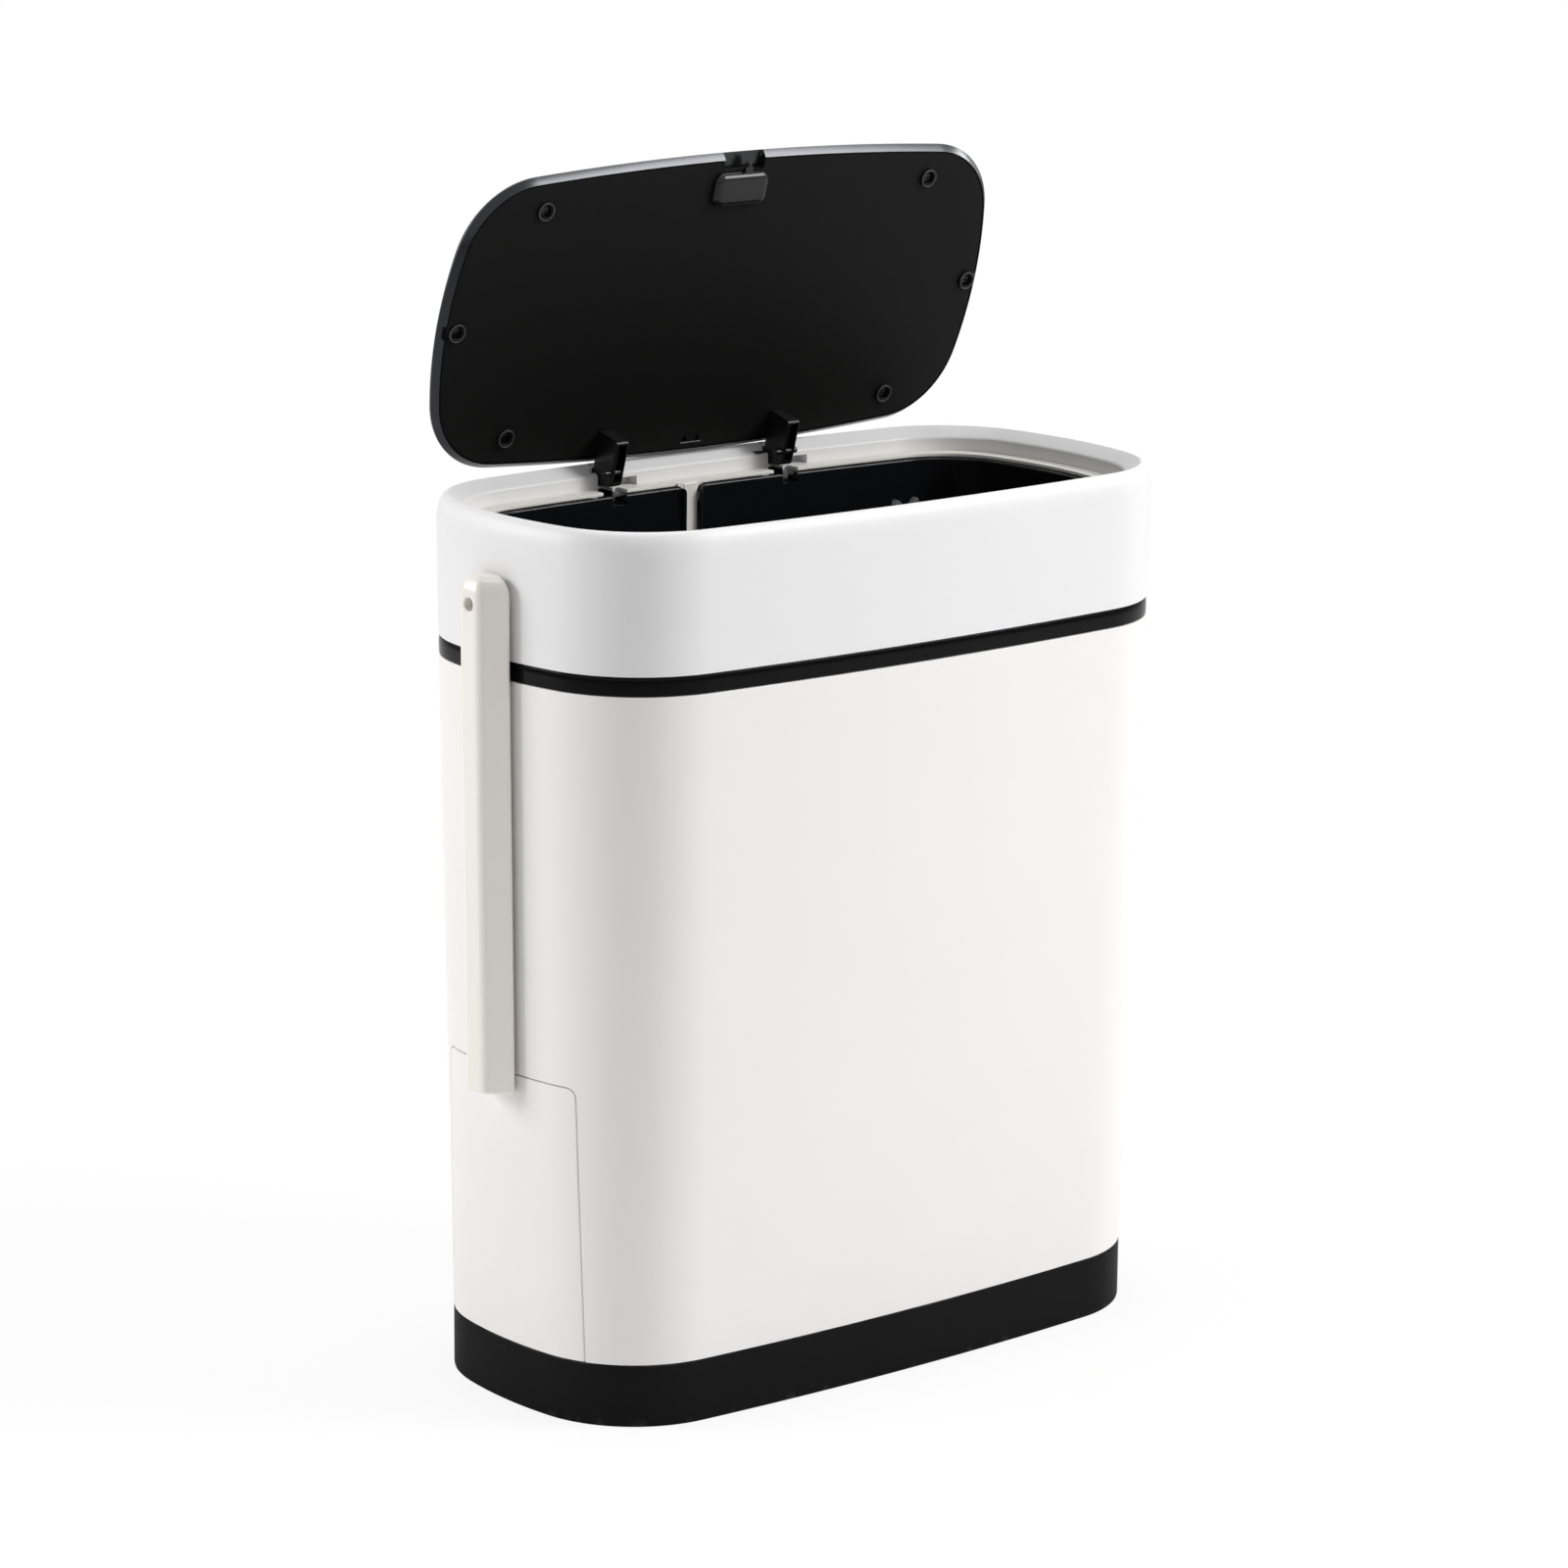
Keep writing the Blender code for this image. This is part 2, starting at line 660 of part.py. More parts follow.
def bin_outline(z, inset, face_x, side):
    """Outline of a bin at height z: the body's outline set in, closed by a wall at face_x.

    side is 1 for the bin towards +X and -1 for the one towards -X.
    """
    side_centre, end_centre, corner, end_turn, side_turn = outline_arcs(*half_size_at(z))
    radius = SIDE_BOW_RADIUS - inset
    round_x = side * face_x + BIN_CORNER
    stop_turn = math.acos(round_x / radius)
    stop_y = side_centre.y + radius * math.sin(stop_turn)
    half = arc(end_centre, END_BOW_RADIUS - inset, 0, end_turn, END_STEPS)
    half += arc(corner, CORNER_RADIUS - inset, end_turn, side_turn, CORNER_STEPS)
    half += arc(side_centre, radius, side_turn, stop_turn, SIDE_STEPS)
    half += arc((round_x, stop_y - BIN_CORNER), BIN_CORNER, stop_turn, math.pi, 4, last=True)
    whole = half + [(x, -y) for x, y in reversed(half[1:])]
    if side < 0:
        whole = [(-x, y) for x, y in reversed(whole)]
    return whole


def make_bin(name, bottom, side, face_x, look):
    """Thin-walled bin with a bead round its rim."""
    def ring(inset, z):
        return raised(bin_outline(z, inset, face_x + side * (inset - BIN_INSET + BIN_BEAD), side), z)

    bead = BIN_INSET - BIN_BEAD
    foot = BIN_INSET + BIN_DRAFT_INSET
    knee = BIN_FOOT_ROUND * (1 - math.sqrt(0.5))
    rings = [
        ring(foot + BIN_FOOT_ROUND, bottom),
        ring(foot + knee, bottom + knee),
        ring(foot, bottom + BIN_FOOT_ROUND),
        ring(BIN_INSET, BIN_TOP - BIN_BEAD_HEIGHT),
        ring(bead, BIN_TOP - BIN_BEAD_HEIGHT),
        ring(bead, BIN_TOP - BIN_BEAD_EDGE),
        ring(bead + BIN_BEAD_EDGE, BIN_TOP),
        ring(BIN_INSET + BIN_WALL - BIN_BEAD_EDGE, BIN_TOP),
        ring(BIN_INSET + BIN_WALL, BIN_TOP - BIN_BEAD_EDGE),
        ring(foot + BIN_WALL, bottom + BIN_FOOT_ROUND),
        ring(foot + BIN_WALL + knee, bottom + BIN_WALL + knee),
        ring(foot + BIN_FOOT_ROUND, bottom + BIN_WALL),
    ]
    made = loft(name, rings, look)
    notch = block(
        name + "_grip_cut",
        (face_x - 2 * BIN_WALL - BIN_BEAD, -BIN_NOTCH_HALF, BIN_TOP - BIN_NOTCH_DEPTH),
        (face_x + 2 * BIN_WALL + BIN_BEAD, BIN_NOTCH_HALF, BIN_TOP + OVERRUN),
    )
    combine(made, notch)
    return made


def arm_centre(side):
    """Middle of a hinge arm along X; side is -1 for the left hinge and 1 for the right one."""
    return side * HINGE_HALF_SPACING + ARM_OFFSET


def pocket_span(side):
    """Both ends of a hinge pocket along X."""
    middle = arm_centre(side)
    return middle - ARM_WIDTH / 2 - POCKET_LEFT, middle + ARM_WIDTH / 2 + POCKET_RIGHT


def hinge_pocket(name, side, gap=0.0):
    """Cutter of the space that a hinge arm swings in, wider by a gap."""
    left, right = pocket_span(side)
    back = LID_PIVOT.y + ARM_END_RADIUS + SLIDE_GAP
    front = LID_PIVOT.y - AXIS_BACK - ARM_LENGTH - RUNNING_GAP
    return block(
        name,
        (left - gap, front, POCKET_BOTTOM - gap),
        (right + gap, back, BODY_HEIGHT + OVERRUN),
    )


def latch_space(name, gap, inset_end):
    """Cutter of the latch's place at the front, from the ring's inner wall to an inset."""
    front = rim_depth(LEDGE_TOP, RING_MOUTH_INSET - SEAT_GAP)
    back = rim_depth(LEDGE_TOP, inset_end)
    return block(
        name,
        (-LATCH_HALF_WIDTH - gap, -front, LATCH_BOTTOM - OVERRUN),
        (LATCH_HALF_WIDTH + gap, -back, LEDGE_TOP + OVERRUN),
    )


def make_ring():
    """White upper ring: rounded rim, sloping mouth, inner wall with a lip, and a spigot inside the shell."""
    rim = arc((RIM_ROUND, BODY_HEIGHT - RIM_ROUND), RIM_ROUND, math.pi, math.pi / 2, 4)
    mouth = RING_MOUTH_INSET
    step_z = BODY_HEIGHT - RIM_FALL
    lip = mouth + LIP_WIDTH
    inner = mouth - RING_INNER_WALL
    inner_bottom = BODY_HEIGHT - RING_INNER_DEPTH
    roof_share = (inner - RIM_ROUND) / (mouth - RIM_ROUND)
    roof_z = BODY_HEIGHT - RIM_FALL * roof_share - RING_TOP_THICKNESS
    spigot = SHELL_WALL + SEAT_GAP
    spigot_in = spigot + SPIGOT_WALL
    profile = [(0, RING_BOTTOM)]
    profile += rim
    profile += [
        (RIM_ROUND, BODY_HEIGHT),
        (mouth - RIM_STEP, step_z),
        (mouth, step_z - RIM_STEP),
        (mouth, LIP_TOP),
        (lip, LIP_TOP),
        (lip, LIP_TOP - LIP_THICKNESS),
        (mouth, LIP_TOP - LIP_THICKNESS - LIP_WIDTH),
        (mouth, inner_bottom),
        (inner, inner_bottom),
        (inner, roof_z),
        (RIM_ROUND, BODY_HEIGHT - RING_TOP_THICKNESS),
        (RING_OUTER_WALL, BODY_HEIGHT - RIM_ROUND),
        (RING_OUTER_WALL, RING_BOTTOM + SPIGOT_RISE + SPIGOT_WALL),
        (spigot_in, RING_BOTTOM + SPIGOT_RISE),
        (spigot_in, RING_BOTTOM - SPIGOT_DEPTH),
        (spigot, RING_BOTTOM - SPIGOT_DEPTH),
        (spigot, RING_BOTTOM),
    ]
    rings = [body_ring(inset, z) for inset, z in profile]
    ring = loft("upper_ring", rings, material("ring_white", WHITE, 0.25), closed=True)
    for side, word in ((-1, "left"), (1, "right")):
        left, right = pocket_span(side)
        carrier = block(
            "hinge_block_" + word,
            (left - BLOCK_WALL, rim_depth(step_z, mouth), POCKET_BOTTOM - BLOCK_WALL / 2),
            (right + BLOCK_WALL, rim_depth(step_z, RING_OUTER_WALL), step_z - RIM_STEP),
        )
        combine(ring, carrier, "UNION")
    for side, word in ((-1, "left"), (1, "right")):
        left, right = pocket_span(side)
        combine(ring, hinge_pocket("ring_pocket_" + word, side))
        low = (left - PIN_HOLD - SLIDE_GAP, LID_PIVOT.y, LID_PIVOT.z)
        high = (right + PIN_HOLD + SLIDE_GAP, LID_PIVOT.y, LID_PIVOT.z)
        combine(ring, rod("pin_groove_" + word, low, high, PIN_BORE))
        mouth_low = (low[0], LID_PIVOT.y - GROOVE_MOUTH / 2, LID_PIVOT.z)
        mouth_high = (high[0], LID_PIVOT.y + GROOVE_MOUTH / 2, BODY_HEIGHT + OVERRUN)
        combine(ring, block("pin_mouth_" + word, mouth_low, mouth_high))
    combine(ring, latch_space("ring_latch_cut", SEAT_GAP, RING_MOUTH_INSET + LATCH_DEPTH + OVERRUN))


def make_bin_frame():
    """White ledge round the opening, with a strap that dips between the bins."""
    rings = [
        body_ring(LEDGE_OUTER_INSET, LEDGE_BOTTOM),
        body_ring(LEDGE_OUTER_INSET, LEDGE_TOP),
        body_ring(LEDGE_INNER_INSET, LEDGE_TOP),
        body_ring(LEDGE_INNER_INSET, LEDGE_BOTTOM),
    ]
    frame = loft("bin_frame", rings, material("frame_white", WHITE, 0.3), closed=True)
    half = rim_depth(LEDGE_TOP, LEDGE_INNER_INSET) + STRAP_THICKNESS / 3
    inner = half - STRAP_THICKNESS
    top = LEDGE_TOP - LEDGE_THICKNESS / 4
    bend_z = LEDGE_TOP - STRAP_DROP + STRAP_CORNER
    bend = (half - STRAP_CORNER, bend_z)
    outside = [(half, top)] + arc(bend, STRAP_CORNER, 0, -math.pi / 2, 4, last=True)
    inside = arc(bend, STRAP_CORNER - STRAP_THICKNESS, -math.pi / 2, 0, 4, last=True) + [(inner, top)]
    outline = outside + [(-y, z) for y, z in reversed(outside)]
    outline += [(-y, z) for y, z in reversed(inside)] + inside
    combine(frame, prism("divider_strap", outline, "yz", STRAP_X, STRAP_WIDTH), "UNION")
    for side, word in ((-1, "left"), (1, "right")):
        combine(frame, hinge_pocket("frame_pocket_" + word, side))
    combine(frame, latch_space("frame_latch_cut", SEAT_GAP, LEDGE_OUTER_INSET + LATCH_DEPTH + SEAT_GAP))


def make_bins():
    """The small bin over the brush bay and the large one beside it."""
    look = material("bin_black", BLACK, 0.12)
    reach = STRAP_WIDTH / 2 + BIN_FACE_GAP
    roof = BAY_TOP + WELL_SIDE_GAP + WELL_WALL
    small = make_bin("small_bin", roof + SEAT_GAP, -1, STRAP_X - reach, look)
    large = make_bin("large_bin", BASE_FLOOR + SEAT_GAP, 1, STRAP_X + reach, look.copy())
    combine(small, hinge_pocket("small_bin_arm_cut", -1))
    combine(large, hinge_pocket("large_bin_arm_cut", 1))


def make_pins():
    """Hinge pins, held in open grooves at both ends of each pocket."""
    look = material("pin_steel", (0.10, 0.10, 0.11), 0.35, 1.0)
    for side, word in ((-1, "left"), (1, "right")):
        left, right = pocket_span(side)
        low = (left - PIN_HOLD, LID_PIVOT.y, LID_PIVOT.z)
        high = (right + PIN_HOLD, LID_PIVOT.y, LID_PIVOT.z)
        rod("hinge_pin_" + word, low, high, PIN_RADIUS, look, ((left + right) / 2, LID_PIVOT.y, LID_PIVOT.z))


def make_latch():
    """Push latch at the front: a housing, a spring and a pair of claws that the spring holds up."""
    black = material("latch_black", BLACK, 0.4)
    smoke = material("claw_smoke", (0.05, 0.05, 0.052), 0.3)
    steel = material("spring_steel", (0.42, 0.42, 0.43), 0.3, 1.0)
    outer = -rim_depth(LEDGE_TOP, LEDGE_OUTER_INSET)
    inner = outer + LATCH_DEPTH
    half = LATCH_HALF_WIDTH
    housing = block("latch_housing", (-half, outer, LATCH_BOTTOM), (half, inner, LATCH_TOP), black)
    floor = LATCH_BOTTOM + LATCH_WALL
    space_half = CLAW_BODY_HALF + SLIDE_GAP
    space_low = (-space_half, outer + LATCH_WALL, floor)
    space_high = (space_half, inner - LATCH_WALL, LATCH_TOP + OVERRUN)
    combine(housing, block("latch_bore", space_low, space_high))
    body_top = LATCH_TOP - LATCH_WALL
    body_bottom = body_top - CLAW_BODY_HEIGHT
    middle_y = (outer + inner) / 2
    axis = axis_empty("latch_axis", (0, middle_y, body_bottom))
    origin = tuple(axis.location)
    prong = CLAW_SPACING / 2
    near = prong - CLAW_WIDTH / 2
    far = prong + CLAW_WIDTH / 2
    right = [
        (CLAW_BODY_HALF, body_bottom),
        (CLAW_BODY_HALF, body_top),
        (far, body_top),
        (far, CLAW_TOP - CLAW_TIP),
        (prong, CLAW_TOP),
        (near - CLAW_HOOK, CLAW_TOP - CLAW_TIP),
        (near - CLAW_HOOK, CLAW_TOP - 2 * CLAW_TIP),
        (near, CLAW_TOP - 3 * CLAW_TIP),
        (near, body_top),
    ]
    outline = right + [(-x, z) for x, z in reversed(right)]
    depth = LATCH_DEPTH - 2 * LATCH_WALL - 2 * SLIDE_GAP
    prism("latch_claws", outline, "xz", middle_y, depth, smoke, origin, axis)
    length = body_bottom - floor - 2 * SEAT_GAP - SPRING_WIRE
    centre = (0, middle_y, (body_bottom + floor) / 2)
    coil("latch_spring", SPRING_RADIUS, SPRING_WIRE, SPRING_TURNS, length, "z", centre, steel, centre)


def lid_ring(inset, z):
    """Ring of points on the closed lid's outline."""
    return raised(body_outline(BODY_HEIGHT, LID_INSET + inset), z)


def lid_y(from_edge):
    """Place along Y on the closed lid, measured from its hinge edge at x 0."""
    return LID_HALF_DEPTH - from_edge


def make_lid(axis):
    """Lid: a cover with a rounded edge, the plate inside it, and six screws."""
    origin = LID_PIVOT
    round_low = LID_FACE + LID_SKIRT
    edge = [(LID_ROUND - x, z) for x, z in arc((0, round_low), LID_ROUND, 0, math.pi / 2, 5, last=True)]
    inner = LID_WALL
    rings = [lid_ring(inner, LID_ROOF_UNDERSIDE), lid_ring(inner, LID_FACE), lid_ring(0, LID_FACE)]
    rings += [lid_ring(inset, z) for inset, z in edge]
    cover = loft("lid_cover", rings, material("lid_cover_black", BLACK, 0.1), False, origin, axis)
    plate_top = LID_ROOF_UNDERSIDE - SEAT_GAP
    plate_inset = LID_WALL + SEAT_GAP
    rings = [
        lid_ring(plate_inset + PLATE_EDGE, LID_FACE),
        lid_ring(plate_inset, LID_FACE + PLATE_EDGE),
        lid_ring(plate_inset, plate_top),
    ]
    satin = material("lid_plate_black", (0.02, 0.02, 0.021), 0.5)
    plate = loft("lid_inner_plate", rings, satin, False, origin, axis)
    front = lid_y(2 * LID_HALF_DEPTH)
    low = (-RECESS_HALF_WIDTH, front - OVERRUN, LID_FACE - OVERRUN)
    high = (RECESS_HALF_WIDTH, front + RECESS_LENGTH, LID_ROOF_UNDERSIDE)
    recess = block("latch_recess", low, high, None, origin, axis)
    combine(plate, recess)
    combine(cover, recess)
    for side, word in ((-1, "left"), (1, "right")):
        middle = arm_centre(side)
        half = ARM_WIDTH / 2 + SEAT_GAP
        low = (middle - half, lid_y(ARM_LENGTH) - SEAT_GAP, LID_FACE - OVERRUN)
        high = (middle + half, lid_y(plate_inset + LID_WALL) + SEAT_GAP, plate_top + OVERRUN)
        combine(plate, block("arm_slot_" + word, low, high, None, origin, axis))
    fasten_lid(plate, cover, axis)


def screw_places():
    """Places of the lid's screws, in pairs from the hinge edge to the front edge."""
    corner = (LID_HALF_LENGTH - CORNER_SCREW_END_INSET, LID_HALF_DEPTH - CORNER_SCREW_SIDE_INSET)
    rows = (corner, (LID_HALF_LENGTH - END_SCREW_INSET, 0), (corner[0], -corner[1]))
    return [(side * x, y) for x, y in rows for side in (-1, 1)]


def fasten_lid(plate, cover, axis):
    """Six screws in rings on the lid's plate, that bite in the cover."""
    origin = LID_PIVOT
    seat = LID_FACE + SCREW_HEAD_HEIGHT
    tip = LID_ROOF_UNDERSIDE + SCREW_BITE
    head_hole = SCREW_HEAD_RADIUS + SEAT_GAP
    shank_hole = SCREW_SHANK_RADIUS + SEAT_GAP
    ring = head_hole + SCREW_RING_WIDTH
    places = screw_places()
    rise = LID_FACE - SCREW_RING_RISE
    rings = [turned([(ring, rise), (ring, seat)], place) for place in places]
    combine(plate, group_of("screw_rings", rings, None, origin, axis), "UNION")
    start = rise - OVERRUN
    hole = [(head_hole, start), (head_hole, seat + SEAT_GAP)]
    hole += [(shank_hole, seat + SEAT_GAP), (shank_hole, tip + SEAT_GAP)]
    holes = group_of("screw_holes", [turned(hole, place) for place in places], None, origin, axis)
    combine(plate, holes)
    combine(cover, holes)
    look = material("screw_black", (0.05, 0.05, 0.052), 0.35, 0.6)
    screw = [(SCREW_HEAD_RADIUS, LID_FACE), (SCREW_HEAD_RADIUS, seat)]
    screw += [(SCREW_SHANK_RADIUS, seat), (SCREW_SHANK_RADIUS, tip)]
    crosses = [[raised(cross_outline(place), z) for z in (start, LID_FACE + SCREW_SLOT)] for place in places]
    cutter = group_of("screw_crosses", crosses, None, origin, axis)
    for number, place in enumerate(places, 1):
        made = loft("lid_screw_{}".format(number), turned(screw, place), look, False, origin, axis)
        combine(made, cutter)


def cross_outline(place):
    """Outline of a screw's cross slot."""
    near = SCREW_SLOT / 2
    far = SCREW_HEAD_RADIUS * 2 / 3
    quarter = [(far, near), (near, near), (near, far)]
    points = []
    for turn in range(4):
        spin = Matrix.Rotation(turn * math.pi / 2, 2)
        points += [tuple(spin @ Vector(point) + Vector(place)) for point in quarter]
    return points


def make_striker(axis):
    """Hump under the lid's front edge with the tongue that the claws grip."""
    origin = LID_PIVOT
    front = -lid_y(0)
    low = (-STRIKER_HALF_WIDTH, front + RECESS_LENGTH + RUNNING_GAP, LID_FACE - SEAT_GAP - STRIKER_HEIGHT)
    high = (STRIKER_HALF_WIDTH, low[1] + STRIKER_LENGTH, LID_FACE - SEAT_GAP)
    look = material("striker_black", BLACK, 0.15)
    hump = block("lid_striker", low, high, look, origin, axis, STRIKER_EDGE)
    half = TONGUE_HALF_WIDTH
    tongue = block(
        "striker_tongue",
        (-half, front + LID_WALL + RUNNING_GAP, LID_FACE - TONGUE_DROP),
        (half, low[1] + STRIKER_LENGTH / 2, LID_FACE - SEAT_GAP),
        None, origin, axis,
    )
    combine(hump, tongue, "UNION")


def arm_outline():
    """Side of a hinge arm on the closed lid, as (y, z): foot in the plate, reach, slope and round end."""
    pivot = (LID_PIVOT.y, LID_PIVOT.z)
    plate_top = LID_ROOF_UNDERSIDE - SEAT_GAP
    back = lid_y(ARM_LENGTH)
    low = LID_FACE - ARM_REACH
    corner = (LID_PIVOT.y - ARM_FRONT_END, low)
    foot_end = lid_y(2 * LID_WALL + SEAT_GAP)
    cover_gap = lid_y(0) + RUNNING_GAP
    under = LID_FACE - SEAT_GAP
    away = Vector((corner[0] - pivot[0], corner[1] - pivot[1]))
    tangent = math.atan2(away.y, away.x) + math.acos(ARM_END_RADIUS / away.length)
    stop = math.pi - math.acos((LID_PIVOT.y - cover_gap) / ARM_END_RADIUS)
    end = arc(pivot, ARM_END_RADIUS, tangent, stop, 10, last=True)
    return [(back, plate_top), (back, low), corner] + end + [(cover_gap, under), (foot_end, under),
                                                            (foot_end, plate_top)]


def channel_outline():
    """Side of the channel in a hinge arm, open to the front, round the spring's coil."""
    pivot = (LID_PIVOT.y, LID_PIVOT.z)
    wall = ARM_BACK_WALL
    radius = ARM_END_RADIUS - wall
    back = lid_y(ARM_LENGTH) + wall
    low = LID_FACE - ARM_REACH - OVERRUN
    under = LID_FACE - wall
    corner = (LID_PIVOT.y - ARM_FRONT_END - 2 * wall, low)
    stop = math.pi - math.asin((under - LID_PIVOT.z) / radius)
    return [(back, under), (back, low), corner] + arc(pivot, radius, 0, stop, 8, last=True)


def make_arms(axis):
    """Hinge arms, with a channel for the torsion spring, and the springs."""
    look = material("arm_black", BLACK, 0.3)
    steel = material("torsion_steel", (0.42, 0.42, 0.43), 0.3, 1.0)
    origin = LID_PIVOT
    for side, word in ((-1, "left"), (1, "right")):
        middle = arm_centre(side)
        arm = prism("hinge_arm_" + word, arm_outline(), "yz", middle, ARM_WIDTH, look, origin, axis)
        name = "arm_channel_" + word
        combine(arm, prism(name, channel_outline(), "yz", middle, ARM_CHANNEL, None, origin, axis))
        half = ARM_WIDTH / 2 + OVERRUN
        low = (middle - half, LID_PIVOT.y, LID_PIVOT.z)
        high = (middle + half, LID_PIVOT.y, LID_PIVOT.z)
        combine(arm, rod("arm_bore_" + word, low, high, PIN_BORE, None, origin, axis))
        radius = PIN_BORE + COIL_WIRE / 2
        length = COIL_TURNS * (COIL_WIRE + SEAT_GAP / 2)
        centre = (middle, LID_PIVOT.y, LID_PIVOT.z)
        name = "hinge_spring_" + word
        coil(name, radius, COIL_WIRE, COIL_TURNS, length, "x", centre, steel, origin, axis, COIL_LEG)


def handle_section(z, width_share=1.0, front_loss=0.0):
    """Section of the brush handle at height z: a flat back, slanted sides and a soft front."""
    back = -(half_size_at(z)[0] + HANDLE_STAND_OFF)
    front = back - HANDLE_DEPTH + front_loss
    wide = HANDLE_BACK_HALF * width_share
    narrow = HANDLE_FRONT_HALF * width_share
    slant = math.pi / 2 + math.atan2(wide - narrow, back - front)
    round_front = HANDLE_ROUND * width_share
    half = arc((front + round_front, narrow - round_front), round_front, math.pi, slant, 4, last=True)
    low_round = HANDLE_BACK_ROUND
    half += arc((back - low_round, wide - low_round), low_round, slant, 0, 3, last=True)
    return raised(half + [(x, -y) for x, y in reversed(half)], z)


def make_handle(axis):
    """Brush handle: a bar up the -X end, hung on the cover panel by its foot, with a pad against the ring."""
    origin = tuple(axis.location)
    sections = []
    for i in range(3):
        turn = math.pi / 2 * (1 - i / 2)
        loss = HANDLE_FOOT_ROUND * (1 - math.cos(turn))
        z = HANDLE_BOTTOM + HANDLE_FOOT_ROUND * (1 - math.sin(turn))
        sections.append(handle_section(z, 1 - loss / HANDLE_BACK_HALF, loss))
    sections.append(handle_section(BAND_BOTTOM))
    for i in range(6):
        turn = math.pi / 2 * i / 5
        loss = HANDLE_TOP_ROUND * (1 - math.cos(turn))
        z = HANDLE_TOP - HANDLE_TOP_ROUND * (1 - math.sin(turn))
        front_loss = loss * HANDLE_ROUND / HANDLE_TOP_ROUND
        sections.append(handle_section(z, 1 - loss / HANDLE_BACK_HALF, front_loss))
    look = material("handle_white", (0.80, 0.78, 0.74), 0.35)
    handle = loft("brush_handle", sections, look, False, origin, axis)
    high = HANDLE_TOP - PAD_DROP
    back = -(BAND_HALF_LENGTH + HANDLE_STAND_OFF)
    low_corner = (back - OVERRUN, -PAD_HALF, high - PAD_HEIGHT)
    pad = block("handle_pad", low_corner, (-BAND_HALF_LENGTH - SEAT_GAP, PAD_HALF, high), None, origin, axis)
    combine(handle, pad, "UNION")
    low = HANDLE_BOTTOM + HANDLE_FOOT_ROUND / 2
    face = -half_size_at(BAY_TOP)[0] - SEAT_GAP
    low_corner = (face - HANDLE_STAND_OFF - OVERRUN, -FOOT_HALF, low)
    foot = block("handle_foot", low_corner, (face, FOOT_HALF, low + FOOT_HEIGHT), None, origin, axis)
    combine(handle, foot, "UNION")
    hole_z = HANDLE_TOP - HANDLE_HOLE_DROP
    far = (back - HANDLE_DEPTH - OVERRUN, 0, hole_z)
    near = (-BAND_HALF_LENGTH + OVERRUN, 0, hole_z)
    combine(handle, rod("handle_hole", far, near, HANDLE_HOLE_RADIUS, None, origin, axis))
    return handle


def make_panel(axis):
    """Cover panel of the brush bay, flush with the shell."""
    origin = tuple(axis.location)
    look = material("panel_white", WHITE, 0.3)
    panel = shell_tube("brush_cover_panel", look, 0.0, SHELL_WALL, origin, axis)
    combine(panel, bay_prism("panel_blank", SEAT_GAP, 0, origin, axis), "INTERSECT")
    return panel


def make_bracket(axis):
    """Bracket from the cover panel to the brush head: a flange, a rib and a collar."""
    origin = tuple(axis.location)
    flange_top = BAY_TOP - FLANGE_EDGE_GAP
    flange_bottom = flange_top - FLANGE_HEIGHT
    half = FLANGE_HALF_WIDTH
    face = -half_size_at(flange_bottom)[0] + SHELL_WALL + SEAT_GAP + end_bow(half)
    inner = face + FLANGE_THICKNESS
    look = material("bracket_white", (0.78, 0.77, 0.74), 0.4)
    low = (face, -half, flange_bottom)
    bracket = block("brush_head_bracket", low, (inner, half, flange_top), look, origin, axis)
    collar_radius = NECK_RADIUS + SEAT_GAP + COLLAR_WALL
    collar_bottom = HEAD_TOP + SEAT_GAP
    collar_top = HEAD_TOP + NECK_HEIGHT + SEAT_GAP + COLLAR_WALL
    low = (inner - FLANGE_THICKNESS / 2, -RIB_HALF_WIDTH, collar_top - RIB_HEIGHT)
    high = (HEAD_AXIS_X, RIB_HALF_WIDTH, collar_top - SEAT_GAP)
    combine(bracket, block("bracket_rib", low, high, None, origin, axis), "UNION")
    low = (HEAD_AXIS_X, 0, collar_bottom)
    collar = rod("bracket_collar", low, (HEAD_AXIS_X, 0, collar_top), collar_radius, None, origin, axis)
    combine(bracket, collar, "UNION")
    low = (HEAD_AXIS_X, 0, collar_bottom - OVERRUN)
    high = (HEAD_AXIS_X, 0, collar_top - COLLAR_WALL)
    bore = rod("collar_bore", low, high, NECK_RADIUS + SEAT_GAP, None, origin, axis)
    combine(bracket, bore)
    return bracket, inner


def fasten_panel(handle, panel, bracket, face, axis):
    """Two screws through the bracket's flange and the cover panel into the handle's foot."""
    origin = tuple(axis.location)
    z = HANDLE_BOTTOM + (HANDLE_FOOT_ROUND + FOOT_HEIGHT) / 2
    places = [(side * PANEL_SCREW_HALF_SPACING, z) for side in (-1, 1)]
    tip = -half_size_at(BAY_TOP)[0] - SEAT_GAP - PANEL_SCREW_BITE
    hole = PANEL_SCREW_RADIUS + SEAT_GAP
    bores = [turned([(hole, tip - SEAT_GAP), (hole, face + OVERRUN)], place, "x") for place in places]
    cutter = group_of("panel_screw_bores", bores, None, origin, axis)
    for piece in (handle, panel, bracket):
        combine(piece, cutter)
    seat = face + SEAT_GAP
    profile = [(PANEL_SCREW_RADIUS, tip), (PANEL_SCREW_RADIUS, seat)]
    profile += [(PANEL_HEAD_RADIUS, seat), (PANEL_HEAD_RADIUS, seat + PANEL_HEAD_HEIGHT)]
    look = material("panel_screw_steel", (0.5, 0.5, 0.5), 0.3, 1.0)
    for word, place in zip(("front", "back"), places):
        loft("panel_screw_" + word, turned(profile, place, "x"), look, False, origin, axis)


